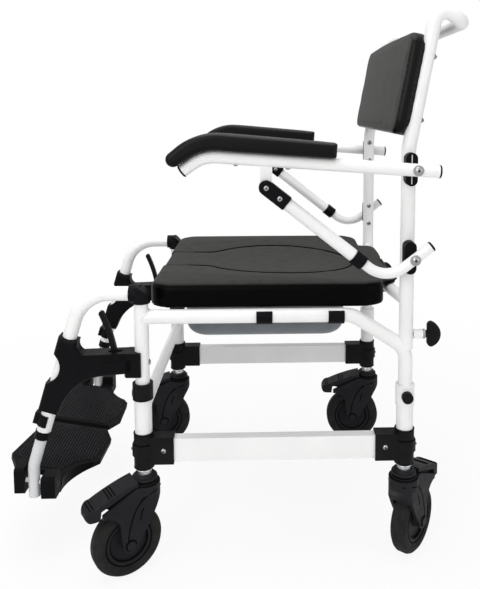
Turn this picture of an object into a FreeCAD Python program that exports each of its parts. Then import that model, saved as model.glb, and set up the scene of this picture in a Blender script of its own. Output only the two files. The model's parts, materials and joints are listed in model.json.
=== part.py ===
import FreeCAD, Part
import Sketcher
import math
import operator
import os
from types import SimpleNamespace
from FreeCAD import Placement, Rotation, Vector

# Shower commode wheelchair: tube frame on four braked casters, seat with a lift-out insert over a bucket,
# flip-up armrests on telescopic struts and swing-away footrests.
# The sitter faces -Y and their left hand is on +X. The floor is z = 0, midway between the four legs.

# Driving dimensions in millimetres and degrees: name, value, meaning
DIMENSIONS = (
    ("leg_spread", 460, "left leg axis to right leg axis"),
    ("wheel_base", 465, "front leg axis to rear leg axis"),
    ("tube_dia", 25, "outside of the frame tube"),
    ("tube_wall", 1.5, "wall of every bent tube"),
    ("slide_gap", 0.08, "radial clearance of sliding tubes and turning pins"),
    ("move_gap", 0.4, "clearance between pieces that pass each other"),
    ("seat_gap", 0.1, "clearance between pieces that are fixed together"),
    ("sleeve_dia", 30, "outside of a lower leg sleeve"),
    ("sleeve_bottom", 193, "height of the lower end of the sleeves"),
    ("front_sleeve_top", 311, "height of the top of the front sleeves"),
    ("rear_sleeve_top", 331, "height of the top of the rear sleeves"),
    ("collar_dia", 36, "outside of the collar on a front sleeve"),
    ("collar_height", 29, "height of that collar"),
    ("bulge_dia", 34, "outside of the clamp swell on a rear sleeve"),
    ("bulge_height", 38, "height of that swell"),
    ("pin_dia", 6, "height locking pin"),
    ("pin_drop", 17, "pin axis below the top of the rear sleeve"),
    ("pin_knob_dia", 20, "round knob on the height pin"),
    ("pin_knob_length", 9, "length of that knob"),
    ("tee_dia", 35, "outside of the leg tee"),
    ("tee_bottom", 186, "height of the lower end of the tee"),
    ("tee_height", 64, "length of the tee along the leg"),
    ("tee_band", 2, "how far the clamp band stands out of the tee"),
    ("tee_band_height", 22, "height of the clamp band"),
    ("socket_reach", 54, "leg axis to the end of the rail socket"),
    ("socket_wall", 3.5, "wall of the rail socket"),
    ("rail_height", 42, "side rail section height"),
    ("rail_width", 20, "side rail section width"),
    ("rail_wall", 2, "side rail wall"),
    ("rail_axis", 219, "height of the side rail axis"),
    ("rail_start", 19, "leg axis to the end of the side rail"),
    ("bar_dia", 21, "front cross bar"),
    ("bar_axis", 290, "height of the front cross bar"),
    ("head_dia", 9, "screw head"),
    ("nut_dia", 11, "dome nut"),
    ("wheel_dia", 125, "caster wheel"),
    ("tyre_width", 32, "tyre width"),
    ("hub_dia", 83, "hub under the tyre"),
    ("axle_dia", 8, "wheel axle"),
    ("trail", 36, "swivel axis to axle"),
    ("fork_width", 48, "fork outside width"),
    ("wheel_gap", 1.5, "side clearance between wheel and fork"),
    ("crown_dia", 54, "fork crown at the swivel"),
    ("fork_top", 165, "height of the top of the fork crown"),
    ("ring_height", 3, "each of the two stepped rings on the crown"),
    ("crown_height", 19, "fork crown below its rings"),
    ("fork_leg", 10, "fork leg round the axle"),
    ("axle_cap", 3, "axle cap"),
    ("stem_dia", 24.5, "caster stem in the leg sleeve"),
    ("stem_top", 204, "height of the top of the stem"),
    ("kingpin_dia", 12, "swivel pin under the stem"),
    ("kingpin_length", 24, "length of the swivel pin"),
    ("pedal_fall", 33, "tip of the brake pedal below its root"),
    ("pedal_reach", 112, "swivel axis to the tip of the brake pedal"),
    ("pedal_thick", 6, "brake pedal plate"),
    ("pedal_width", 42, "brake pedal width"),
    ("pedal_lap", 7, "how far the pedal laps over the crown"),
    ("pedal_rise", 5, "root of the pedal above the crown"),
    ("pedal_nose", 26, "down-turned tip of the pedal, along the trail"),
    ("pedal_lip", 13, "depth of that tip"),
    ("block_drop", 27, "underside of the pedal's block below the top of the crown"),
    ("hinge_out", 7, "crown to the pedal hinge"),
    ("hinge_drop", 15, "pedal hinge below the top of the crown"),
    ("pedal_pin_dia", 5, "brake pedal hinge pin"),
    ("pedal_travel", 7, "degrees the brake pedal can be pressed"),
    ("front_caster_turn", -58, "degrees from +X to the trail of the left front caster"),
    ("rear_caster_turn", 142, "degrees from +X to the trail of the left rear caster"),
    ("far_front_turn", -80, "degrees from +X to the trail of the right front caster"),
    ("far_rear_turn", -92, "degrees from +X to the trail of the right rear caster"),
    ("post_bottom", 208, "height of the lower ends of the sliding legs"),
    ("post_top", 483, "height of the top of the front posts"),
    ("seat_rail_axis", 458, "height of the seat rails"),
    ("rail_slope_start", 137, "front-back place where the seat rail turns down"),
    ("rail_slope_end", 396, "height where it turns into the rear leg"),
    ("rail_bend", 46, "bend radius at the top of the slope"),
    ("leg_bend", 38, "bend radius at the foot of the slope"),
    ("lean_start", 752, "height where the back posts lean"),
    ("lean", 10.6, "degrees the back posts lean"),
    ("lean_bend", 120, "bend radius where they lean"),
    ("handle_y", 51.3, "push bar axis behind the line of the back posts"),
    ("handle_z", 967, "height of the push bar axis"),
    ("handle_drop", 31, "degrees the tube falls towards the push bar"),
    ("handle_bend", 20, "bend radius at the top of a back post"),
    ("grip_bend", 21, "bend radius where the tube turns across"),
    ("cross_dia", 22, "rear cross tube"),
    ("cross_axis", 483, "height of the rear cross tube"),
    ("cross_bow", 24, "how far the rear cross tube bows forward"),
    ("knob_z", 422, "height of the wing knobs"),
    ("knob_screw_dia", 8, "wing knob screw"),
    ("knob_screw_length", 22, "post surface to the wing knob"),
    ("boss_dia", 16, "boss on the back post for the wing knob"),
    ("knob_height", 45, "wing knob across its wings"),
    ("knob_depth", 24, "wing knob along its axis"),
    ("knob_width", 16, "wing knob thickness"),
    ("knob_hub_dia", 13, "wing knob hub"),
    ("pad_half", 228, "half width of the seat pad"),
    ("pad_front", -218, "front edge of the seat pad"),
    ("pad_rear", 193, "rear edge of the seat pad"),
    ("pad_top", 515, "height of the rim of the seat pad"),
    ("pad_corner", 38, "seat pad corner radius in plan"),
    ("pad_edge", 13, "rounding of the top edge"),
    ("pad_foot", 5, "rounding of the bottom edge"),
    ("pad_dish", 10, "depth of the dished seat"),
    ("dish_half", 180, "half width of the dished part"),
    ("dish_tilt", 1.4, "degrees the dish deepens towards the rear"),
    ("tongue_half", 165, "half width of the rear tongue"),
    ("tongue_rear", 230, "rear edge of the tongue"),
    ("tongue_thick", 7, "tongue thickness"),
    ("throat_half", 62, "half width of the insert at the front"),
    ("oval_half", 129, "half width of the oval part of the insert"),
    ("oval_length", 155, "half length of the oval part"),
    ("oval_y", 10, "front-back place of the oval's middle"),
    ("flare_round", 40, "rounding where the throat widens into the oval"),
    ("insert_gap", 0.8, "seam round the insert"),
    ("insert_thick", 26, "height of the insert at its rim"),
    ("ledge", 12, "ledge under the insert"),
    ("clip_width", 28, "seat clip along the rail"),
    ("clip_wall", 2.6, "seat clip thickness"),
    ("clip_front_y", -18, "front-back place of the front clips"),
    ("clip_rear_y", 108, "front-back place of the rear clips"),
    ("clip_cross_x", 112, "side place of the clips on the rear cross tube"),
    ("bucket_half", 150, "half width of the bucket"),
    ("bucket_front", -168, "front wall of the bucket"),
    ("bucket_rear", 135, "rear wall of the bucket"),
    ("bucket_bottom", 390, "height of the underside of the bucket"),
    ("bucket_top", 462, "height of the bucket rim"),
    ("bucket_wall", 2.5, "bucket wall"),
    ("bucket_corner", 45, "bucket corner radius in plan"),
    ("bucket_round", 24, "rounding of the bucket's lower edge"),
    ("rim_width", 14, "flange of the bucket rim"),
    ("rim_thick", 3, "thickness of that flange"),
    ("runner_thick", 3, "bucket runner sheet"),
    ("runner_lip", 10, "lip of the runner under the rim"),
    ("cushion_half", 243.5, "half width of the back cushion"),
    ("cushion_bottom", 770.5, "height of the lower edge of the back cushion"),
    ("cushion_height", 178, "back cushion along the lean"),
    ("cushion_thick", 24, "back cushion thickness at its edge"),
    ("cushion_crown", 5, "how far the middle of the back cushion stands out"),
    ("cushion_corner", 26, "back cushion corner radius"),
    ("cushion_edge", 7, "rounding of the back cushion edges"),
    ("cushion_sink", 6, "how deep the back posts sit in the back of the cushion"),
    ("arm_x", 270, "side place of an armrest"),
    ("arm_dia", 22, "armrest tube"),
    ("arm_pivot_z", 717, "height of the armrest pivot"),
    ("arm_pivot_y", 239, "front-back place of the armrest pivot"),
    ("arm_rise", 4, "degrees the armrest rises to the front"),
    ("arm_tail", 38, "armrest tube behind its pivot"),
    ("arm_bend_y", -118, "front-back place of the armrest bend"),
    ("arm_fall", 35.5, "degrees the armrest falls in front of the bend"),
    ("arm_nose", 43, "armrest tube in front of the bend"),
    ("arm_bend", 60, "armrest bend radius"),
    ("plug_depth", 3, "plug in the end of an armrest tube or strut rod"),
    ("arm_bolt_dia", 8, "armrest pivot bolt"),
    ("bolt_head_dia", 15, "armrest pivot bolt head"),
    ("bracket_width", 20.5, "armrest bracket, front to back"),
    ("bracket_height", 57, "armrest bracket, top to bottom"),
    ("arm_pad_width", 50, "arm pad width"),
    ("arm_pad_front_thick", 29, "arm pad thickness at the bend"),
    ("arm_pad_rear_thick", 25, "arm pad thickness at its rear end"),
    ("arm_pad_rear_y", 101, "rear end of the arm pad"),
    ("arm_pad_over", 11, "arm pad in front of the tube end"),
    ("arm_pad_edge", 8, "rounding of the arm pad's top edges"),
    ("tab_y", -14, "front-back place of the strut tab"),
    ("tab_width", 20, "strut tab width"),
    ("tab_thick", 6, "strut tab thickness"),
    ("strut_pivot_drop", 45.7, "strut pivot below the armrest axis"),
    ("strut_dia", 22, "outer strut tube"),
    ("strut_fall", 38.4, "degrees the strut falls to the rear"),
    ("strut_length", 198, "strut pivot to the middle of its collar"),
    ("strut_collar_dia", 26, "strut collar"),
    ("strut_collar_length", 22, "length of that collar"),
    ("cap_width", 25, "strut hinge cap"),
    ("cap_length", 44, "strut pivot to the end of the cap"),
    ("cap_floor", 6, "tab room to the end of the strut tube in the cap"),
    ("strut_rod_dia", 18, "inner strut rod"),
    ("strut_rod_start", 48, "strut pivot to the inner end of the rod"),
    ("strut_rise", 38, "degrees the rear of the rod rises"),
    ("strut_bend", 50, "strut rod bend radius"),
    ("strut_tail", 36, "rod behind its pivot"),
    ("strut_bolt_dia", 6, "strut rod pivot bolt"),
    ("strut_foot_z", 565, "height of the lower strut pivot"),
    ("strut_foot_y", 237, "front-back place of the lower strut pivot"),
    ("hanger_axis", 500, "height of the footrest hanger's top run"),
    ("hanger_fall", 73.3, "degrees the hanger falls after its bend"),
    ("hanger_bend_y", -334, "front-back place of the hanger bend"),
    ("hanger_bend", 66, "hanger bend radius"),
    ("hanger_end", 256, "height of the lower end of the hanger tube"),
    ("elbow_dia", 32, "elbow on top of the front post"),
    ("elbow_reach", 20, "post axis to the front of the elbow"),
    ("elbow_bevel", 18, "sloping face cut from the top of the elbow at the back"),
    ("spigot_length", 30, "elbow spigot in the post"),
    ("housing_width", 34, "hanger housing width"),
    ("housing_top", 424, "height of the top of the housing"),
    ("housing_bottom", 292, "height of the bottom of the housing"),
    ("housing_wall", 4.5, "housing wall round the tube"),
    ("latch_radius", 31, "post axis to the curved face of the latch block"),
    ("latch_top", 398, "height of the top of the latch"),
    ("latch_height", 43, "height of the latch block and arm"),
    ("latch_width", 36, "latch block width"),
    ("notch_radius", 30, "front notch that shows the tube"),
    ("notch_z", 376, "height of the middle of the notch"),
    ("lever_y", -279, "front-back place of the lever hinge"),
    ("lever_height", 80, "release lever above its hinge"),
    ("lever_lean", 16, "degrees the lever leans forward"),
    ("lever_bow", 3, "how far the lever bows to the rear"),
    ("lever_width", 9, "release lever width"),
    ("lever_thick", 9, "release lever thickness"),
    ("lever_pin_dia", 6, "release lever hinge pin"),
    ("band_height", 20, "tube clamp band"),
    ("band_wall", 2.5, "thickness of that band"),
    ("band_rise", 10, "tube clamp band above the end of the hanger"),
    ("bush_length", 14, "end bush under the clamp"),
    ("bush_dia", 27, "outside of the end bush"),
    ("foot_dia", 20, "foot tube"),
    ("foot_inside", 46, "foot tube inside the hanger"),
    ("foot_bend_z", 190, "height where the foot tube turns upright"),
    ("foot_bend", 50, "foot tube bend radius"),
    ("foot_end", 135, "height of the lower end of the foot tube"),
    ("plate_pin_z", 162, "height of the footplate hinge"),
    ("plate_pin_dia", 8, "footplate hinge pin"),
    ("plate_tilt", 10, "degrees the footplate's toe edge is raised"),
    ("plate_outer", 17, "hinge to the outer edge of the footplate"),
    ("plate_inner", 222, "hinge to the inner edge of the footplate"),
    ("plate_toe", 69, "hinge to the toe edge"),
    ("plate_heel", 95, "hinge to the heel edge"),
    ("plate_thick", 10, "footplate thickness"),
    ("plate_drop", 2, "footplate top below its hinge"),
    ("plate_notch", 40, "hinge to the bottom of the tube notch"),
    ("lug_inside", 14.5, "hinge tube axis to the inside of a lug"),
    ("toe_lug_thick", 17, "toe side lug along the hinge"),
    ("toe_lug_rise", 28, "toe side lug above the hinge"),
    ("toe_lug_depth", 19, "toe side lug below the hinge"),
    ("heel_lug_thick", 25, "heel side lug along the hinge"),
    ("heel_lug_rise", 10, "heel side lug above the hinge"),
    ("heel_lug_depth", 30, "heel side lug below the hinge"),
    ("lug_width", 33, "footplate lug across the hinge"),
    ("lug_proud", 12, "footplate lug outside the hinge"),
    ("apron_wall", 9, "apron under the curved edge of the footplate"),
)

doc = FreeCAD.newDocument("shower_commode_wheelchair")
sheet = doc.addObject("Spreadsheet::Sheet", "Sizes")
for row, (alias, value, meaning) in enumerate(DIMENSIONS, start=1):
    sheet.set(f"A{row}", str(value))
    sheet.setAlias(f"A{row}", alias)
    sheet.set(f"B{row}", meaning)
doc.recompute()

OPERATIONS = {"+": operator.add, "-": operator.sub, "*": operator.mul, "/": operator.truediv}


def join(first, sign, second):
    """Combine two sizes or numbers into a size that keeps its formula."""
    sides = [side if isinstance(side, Size) else Size(repr(side), side) for side in (first, second)]
    formula = f"({sides[0].formula} {sign} {sides[1].formula})"
    return Size(formula, OPERATIONS[sign](sides[0].value, sides[1].value))


class Size:
    """A length that knows both its value and the sheet formula behind it."""

    def __init__(self, formula, value):
        self.formula = formula
        self.value = float(value)

    def __float__(self):
        return self.value

    def __add__(self, other):
        return join(self, "+", other)

    def __radd__(self, other):
        return join(other, "+", self)

    def __sub__(self, other):
        return join(self, "-", other)

    def __rsub__(self, other):
        return join(other, "-", self)

    def __mul__(self, other):
        return join(self, "*", other)

    def __rmul__(self, other):
        return join(other, "*", self)

    def __truediv__(self, other):
        return join(self, "/", other)

    def __neg__(self):
        return join(0, "-", self)


# Every dimension as a formula (s) and as a plain number (n)
s = SimpleNamespace(**{name: Size("Sizes." + name, sheet.get(name)) for name, _, _ in DIMENSIONS})
n = SimpleNamespace(**{name: float(sheet.get(name)) for name, _, _ in DIMENSIONS})

LEFT = s.leg_spread / 2
FRONT = -s.wheel_base / 2
REAR = s.wheel_base / 2
left, front, rear = float(LEFT), float(FRONT), float(REAR)

UP = Rotation()
TO_LEFT = Rotation(Vector(0, 0, 1), Vector(1, 0, 0))
TO_RIGHT = Rotation(Vector(0, 0, 1), Vector(-1, 0, 0))
TO_REAR = Rotation(Vector(0, 0, 1), Vector(0, 1, 0))
TO_FRONT = Rotation(Vector(0, 0, 1), Vector(0, -1, 0))

nodes = []


def publish(piece, label):
    """Make a finished piece one of the nodes of the assembly."""
    piece.Label = label
    nodes.append(piece)
    return piece


# Building blocks bound to the sheet

def bind(piece, prop, size):
    if isinstance(size, Size):
        piece.setExpression(prop, size.formula)
    else:
        setattr(piece, prop, size)


def place(piece, at, turn=UP):
    piece.Placement = Placement(Vector(*[float(value) for value in at]), turn)
    for axis, value in zip("xyz", at):
        if isinstance(value, Size):
            piece.setExpression("Placement.Base." + axis, value.formula)


def cylinder(name, dia, length, at, turn=UP):
    piece = doc.addObject("Part::Cylinder", name)
    bind(piece, "Radius", dia / 2)
    bind(piece, "Height", length)
    place(piece, at, turn)
    return piece


def box(name, length, width, height, at):
    """A box from its lowest corner."""
    piece = doc.addObject("Part::Box", name)
    bind(piece, "Length", length)
    bind(piece, "Width", width)
    bind(piece, "Height", height)
    place(piece, at)
    return piece


def dome(name, dia, at, turn):
    """A domed head on a flat seat: a spherical cap whose height is a quarter of its diameter."""
    piece = doc.addObject("Part::Sphere", name)
    radius = dia * 0.625
    bind(piece, "Radius", radius)
    piece.Angle1 = math.degrees(math.asin(0.6))
    piece.Angle2 = 90
    sink = turn.multVec(Vector(0, 0, -0.6))
    place(piece, [value + radius * step for value, step in zip(at, sink)], turn)
    return piece


def fuse(name, *pieces):
    piece = doc.addObject("Part::MultiFuse", name)
    piece.Shapes = list(pieces)
    piece.Refine = True
    return piece


def cut(name, base, *tools):
    piece = doc.addObject("Part::Cut", name)
    piece.Base = base
    piece.Tool = tools[0] if len(tools) == 1 else fuse(name + "_tools", *tools)
    return piece


def common(name, first, second):
    piece = doc.addObject("Part::Common", name)
    piece.Base = first
    piece.Tool = second
    return piece


def group(name, *pieces):
    piece = doc.addObject("Part::Compound", name)
    piece.Links = list(pieces)
    return piece


def mirror(piece, name):
    """The right-hand twin of a left-hand piece."""
    twin = doc.addObject("Part::Mirroring", name)
    twin.Source = piece
    twin.Normal = Vector(1, 0, 0)
    return twin


def publish_pair(piece, label):
    """Publish a left-hand piece and its right-hand twin as two nodes."""
    publish(piece, label + "_left")
    publish(mirror(piece, label + "_mirror"), label + "_right")


def publish_both(label, *pieces):
    """Publish left-hand pieces and their twins as one node of separate solids."""
    twins = [mirror(piece, piece.Name + "_mirror") for piece in pieces]
    publish(group(label, *pieces, *twins), label)


def feature(name, shape):
    piece = doc.addObject("Part::Feature", name)
    piece.Shape = shape
    return piece


# Shapes along paths and outlines

def bent_path(points, radii):
    """Straight runs joined by tangent arcs, one radius for each inner point."""
    edges = []
    start = points[0]
    for before, corner, after, radius in zip(points, points[1:], points[2:], radii):
        inward = (before - corner).normalize()
        outward = (after - corner).normalize()
        half_turn = (math.pi - inward.getAngle(outward)) / 2
        reach = radius * math.tan(half_turn)
        middle = corner + (inward + outward).normalize() * (radius / math.cos(half_turn) - radius)
        arc_start = corner + inward * reach
        arc_end = corner + outward * reach
        edges.append(Part.LineSegment(start, arc_start).toShape())
        edges.append(Part.Arc(arc_start, middle, arc_end).toShape())
        start = arc_end
    edges.append(Part.LineSegment(start, points[-1]).toShape())
    return Part.Wire(edges)


def sweep(path, dia):
    """A solid round bar along a path."""
    edge = path.OrderedEdges[0]
    start = edge.valueAt(edge.FirstParameter)
    circle = Part.Circle(start, edge.tangentAt(edge.FirstParameter), dia / 2)
    return path.makePipeShell([Part.Wire(circle.toShape())], True, False)


def bent_tube(points, radii, dia, wall):
    path = bent_path(points, radii)
    return sweep(path, dia).cut(sweep(path, dia - 2 * wall))


def outline(plane, start, *steps):
    """A flat face in the XY, YZ or XZ plane. A step is a point, or an arc's middle and end."""
    lift = {
        "XY": lambda a, b: Vector(a, b, 0),
        "YZ": lambda a, b: Vector(0, a, b),
        "XZ": lambda a, b: Vector(a, 0, b),
    }[plane]
    here = lift(*start)
    edges = []
    last = steps[-1][1] if isinstance(steps[-1][0], tuple) else steps[-1]
    for step in steps if last == start else steps + (start,):
        if isinstance(step[0], tuple):
            end = lift(*step[1])
            edges.append(Part.Arc(here, lift(*step[0]), end).toShape())
        else:
            end = lift(*step)
            edges.append(Part.LineSegment(here, end).toShape())
        here = end
    return Part.Face(Part.Wire(edges))


def slab(face, normal, thickness, middle=0.0):
    """A face thickened evenly to both sides of the plane that lies middle along its normal."""
    face = face.copy()
    face.translate(normal * (middle - thickness / 2))
    return face.extrude(normal * thickness)


def rounded(shape, radius, pick):
    """Round the edges that pick accepts."""
    return shape.makeFillet(radius, [edge for edge in shape.Edges if pick(edge)])


def runs_along(edge, direction):
    """True for a straight edge that runs along a direction."""
    if edge.Curve.TypeId != "Part::GeomLine":
        return False
    return abs(edge.tangentAt(edge.FirstParameter).dot(direction)) > 0.999


def lies_at(edge, axis, value):
    """True for an edge whose whole box lies at one height along an axis."""
    box_of = edge.BoundBox
    low = getattr(box_of, axis + "Min")
    high = getattr(box_of, axis + "Max")
    return abs(low - value) < 1e-3 and abs(high - value) < 1e-3


X_AXIS = Vector(1, 0, 0)
Y_AXIS = Vector(0, 1, 0)
Z_AXIS = Vector(0, 0, 1)


# Sketched bodies

def origin_plane(body, role):
    return next(item for item in body.Origin.OriginFeatures if item.Role == role)


def sketch_polygon(body, role, corners):
    """A closed polygon whose corners are driven by the sheet, on an origin plane of its body."""
    sketch = body.newObject("Sketcher::SketchObject", body.Name + "_sketch")
    sketch.AttachmentSupport = (origin_plane(body, role), [""])
    sketch.MapMode = "FlatFace"
    flat = [Vector(float(a), float(b), 0) for a, b in corners]
    for index, corner in enumerate(flat):
        sketch.addGeometry(Part.LineSegment(corner, flat[(index + 1) % len(flat)]), False)
    tie_corners(sketch, corners)
    return sketch


def tie_corners(sketch, corners):
    """Join the sides of a polygon and tie each corner to its two sizes."""
    count = len(corners)
    for index in range(count):
        sketch.addConstraint(Sketcher.Constraint("Coincident", index, 2, (index + 1) % count, 1))
    for index, corner in enumerate(corners):
        for kind, value in zip(("DistanceX", "DistanceY"), corner):
            number = sketch.addConstraint(Sketcher.Constraint(kind, -1, 1, index, 1, float(value)))
            if isinstance(value, Size):
                sketch.setExpression(f"Constraints[{number}]", value.formula)


def turned_body(name, corners):
    """A body turned about its own Z axis from a polygon of (radius, height) corners."""
    body = doc.addObject("PartDesign::Body", name)
    sketch = sketch_polygon(body, "XZ_Plane", corners)
    turn = body.newObject("PartDesign::Revolution", name + "_turn")
    turn.Profile = sketch
    turn.ReferenceAxis = (sketch, ["V_Axis"])
    turn.Angle = 360
    return body


def tube_bar(name, outer, inner, length, at, turn=UP):
    """A straight round tube."""
    barrel = cylinder(name + "_outside", outer, length, at, turn)
    bore = cylinder(name + "_bore", inner, length, at, turn)
    return cut(name, barrel, bore)


# Base: sleeves, tees, rails and pins

def make_base():
    leg_bore = s.tube_dia + 2 * s.slide_gap
    front_sleeve = tube_bar(
        "front_sleeve", s.sleeve_dia, leg_bore, s.front_sleeve_top - s.sleeve_bottom,
        (LEFT, FRONT, s.sleeve_bottom))
    pin_z = s.rear_sleeve_top - s.pin_drop
    pin_start = LEFT + s.tube_dia / 2 + s.move_gap
    rear_barrel = fuse(
        "rear_barrel",
        cylinder("rear_outside", s.sleeve_dia, s.rear_sleeve_top - s.sleeve_bottom,
                 (LEFT, REAR, s.sleeve_bottom)),
        cylinder("rear_bulge", s.bulge_dia, s.bulge_height, (LEFT, REAR, s.rear_sleeve_top - s.bulge_height)))
    rear_sleeve = cut(
        "rear_sleeve", rear_barrel,
        cylinder("rear_bore", leg_bore, s.rear_sleeve_top - s.sleeve_bottom, (LEFT, REAR, s.sleeve_bottom)),
        cylinder("pin_hole", s.pin_dia + 2 * s.slide_gap, s.bulge_dia, (LEFT, REAR, pin_z), TO_LEFT))
    publish_both("leg_sleeves", front_sleeve, rear_sleeve)

    collar = tube_bar(
        "collar", s.collar_dia, leg_bore + 2 * s.move_gap, s.collar_height, (LEFT, FRONT, s.front_sleeve_top))
    publish_both("sleeve_collars", collar)

    knob_x = LEFT + s.bulge_dia / 2 + s.move_gap
    pin_length = knob_x - pin_start + s.pin_knob_length / 2
    pin = cylinder("pin", s.pin_dia, pin_length, (pin_start, REAR, pin_z), TO_LEFT)
    knob = cylinder("pin_knob", s.pin_knob_dia, s.pin_knob_length, (knob_x, REAR, pin_z), TO_LEFT)
    publish_pair(fuse("height_pin", pin, knob), "height_pin")

    tees = [make_tee("front", FRONT, 1), make_tee("rear", REAR, -1)]
    publish_both("leg_tees", *tees)

    rail_length = s.wheel_base - 2 * s.rail_start
    rail_low = (LEFT - s.rail_width / 2, FRONT + s.rail_start, s.rail_axis - s.rail_height / 2)
    bar = box("rail_outside", s.rail_width, rail_length, s.rail_height, rail_low)
    rail_bore = box(
        "rail_bore", s.rail_width - 2 * s.rail_wall, rail_length, s.rail_height - 2 * s.rail_wall,
        (rail_low[0] + s.rail_wall, rail_low[1], rail_low[2] + s.rail_wall))
    publish_both("side_rails", cut("side_rail", bar, rail_bore))

    bar_half = LEFT - s.sleeve_dia / 2 - s.seat_gap
    publish(tube_bar("front_cross_bar", s.bar_dia, s.bar_dia - 2 * s.tube_wall, 2 * bar_half,
                     (-bar_half, FRONT, s.bar_axis), TO_LEFT), "front_cross_bar")

    screw_x = LEFT + s.rail_width / 2 + s.socket_wall
    screws = []
    for end, toward in ((FRONT, 1), (REAR, -1)):
        screw_y = end + toward * (s.socket_reach - s.head_dia * 2)
        screws.append(dome("rail_screw", s.head_dia, (screw_x, screw_y, s.rail_axis), TO_LEFT))
        nut_y = end - toward * (s.tee_dia / 2 + s.tee_band)
        away = TO_FRONT if toward > 0 else TO_REAR
        screws.append(dome("band_nut", s.head_dia, (LEFT, nut_y, s.rail_axis), away))
    publish_both("base_screws", *screws)


def make_tee(name, end, toward):
    """A tee on the leg at end whose rail socket points along toward times +Y."""
    tee_top = s.tee_bottom + s.tee_height
    barrel = cylinder(name + "_tee_barrel", s.tee_dia, s.tee_height, (LEFT, end, s.tee_bottom))
    band_dia = s.tee_dia + 2 * s.tee_band
    band_low = s.rail_axis - s.tee_band_height / 2
    band = cylinder(name + "_tee_band", band_dia, s.tee_band_height, (LEFT, end, band_low))
    flat_y = end - band_dia / 2 if toward > 0 else end
    flat_side = box(
        name + "_band_flat", s.head_dia * 1.4, band_dia / 2, s.tee_band_height,
        (LEFT - s.head_dia * 0.7, flat_y, band_low))
    width = s.rail_width + 2 * s.socket_wall
    height = s.rail_height + 2 * s.socket_wall
    socket_y = end if toward > 0 else end - s.socket_reach
    socket = box(
        name + "_socket", width, s.socket_reach, height,
        (LEFT - width / 2, socket_y, s.rail_axis - height / 2))
    pocket_width = s.rail_width + 2 * s.seat_gap
    pocket_height = s.rail_height + 2 * s.seat_gap
    pocket_length = s.socket_reach - s.rail_start + s.seat_gap
    pocket_y = end + s.rail_start - s.seat_gap if toward > 0 else end - s.socket_reach
    pocket = box(
        name + "_pocket", pocket_width, pocket_length, pocket_height,
        (LEFT - pocket_width / 2, pocket_y, s.rail_axis - pocket_height / 2))
    bore = cylinder(
        name + "_tee_bore", s.sleeve_dia + 2 * s.seat_gap, tee_top - s.sleeve_bottom + s.seat_gap,
        (LEFT, end, s.sleeve_bottom - s.seat_gap))
    stem_hole = cylinder(
        name + "_stem_hole", s.stem_dia + 2 * s.seat_gap, s.tee_height, (LEFT, end, s.tee_bottom))
    blank = fuse(name + "_tee_blank", barrel, band, flat_side, socket)
    return cut(name + "_tee", blank, pocket, bore, stem_hole)


# Casters

CASTERS = (
    ("front_left", 1, FRONT, s.front_caster_turn),
    ("rear_left", 1, REAR, s.rear_caster_turn),
    ("front_right", -1, FRONT, s.far_front_turn),
    ("rear_right", -1, REAR, s.far_rear_turn),
)


def make_casters():
    """Four equal casters, drawn once with the trail along +X and the swivel axis on Z."""
    masters = {
        "caster_fork": make_fork(),
        "caster_pedal": make_pedal(),
        "caster_hub": make_hub(),
        "caster_tyre": make_tyre(),
    }
    stems = []
    stem_bottom = s.fork_top + s.move_gap
    for corner, side, end, turn in CASTERS:
        for label, master in masters.items():
            piece = group(f"{label}_{corner}", master)
            place(piece, (side * LEFT, end, 0), Rotation(Z_AXIS, float(turn)))
            piece.setExpression("Placement.Rotation.Angle", turn.formula)
            publish(piece, f"{label}_{corner}")
        shank = cylinder("stem_shank", s.stem_dia, s.stem_top - stem_bottom, (side * LEFT, end, stem_bottom))
        kingpin = cylinder("kingpin", s.kingpin_dia, s.kingpin_length + s.move_gap,
                           (side * LEFT, end, s.fork_top - s.kingpin_length))
        stems.append(fuse("caster_stem", shank, kingpin))
    publish(group("caster_stems", *stems), "caster_stems")


# Places on the caster, with x along the trail
wheel_radius = n.wheel_dia / 2
crown_radius = n.crown_dia / 2
crown_top = n.fork_top - 2 * n.ring_height
crown_bottom = crown_top - n.crown_height
pedal_hinge = (crown_radius + n.hinge_out, n.fork_top - n.hinge_drop)
pedal_root = crown_radius - n.pedal_lap
pedal_top = n.fork_top + n.pedal_rise
block_start = pedal_hinge[0] - n.pedal_pin_dia * 0.8
block_end = n.pedal_reach - n.pedal_nose
block_bottom = n.fork_top - n.block_drop


def caster_bay(width, low_x):
    """Room between the cheeks for the wheel, and behind low_x also for the pedal's block."""
    side = -width / 2
    wheel_room = Part.makeCylinder(wheel_radius + 3, width, Vector(n.trail, side, wheel_radius), Y_AXIS)
    below = Part.makeBox(2 * wheel_radius, width, wheel_radius, Vector(n.trail - wheel_radius, side, 0))
    behind = Part.makeBox(n.wheel_dia, width, n.wheel_dia, Vector(low_x, side, wheel_radius))
    return [wheel_room, below, behind]


def crossways(dia, width, x, z):
    """A round bar across the caster."""
    return Part.makeCylinder(dia / 2, width, Vector(x, -width / 2, z), Y_AXIS)


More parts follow.
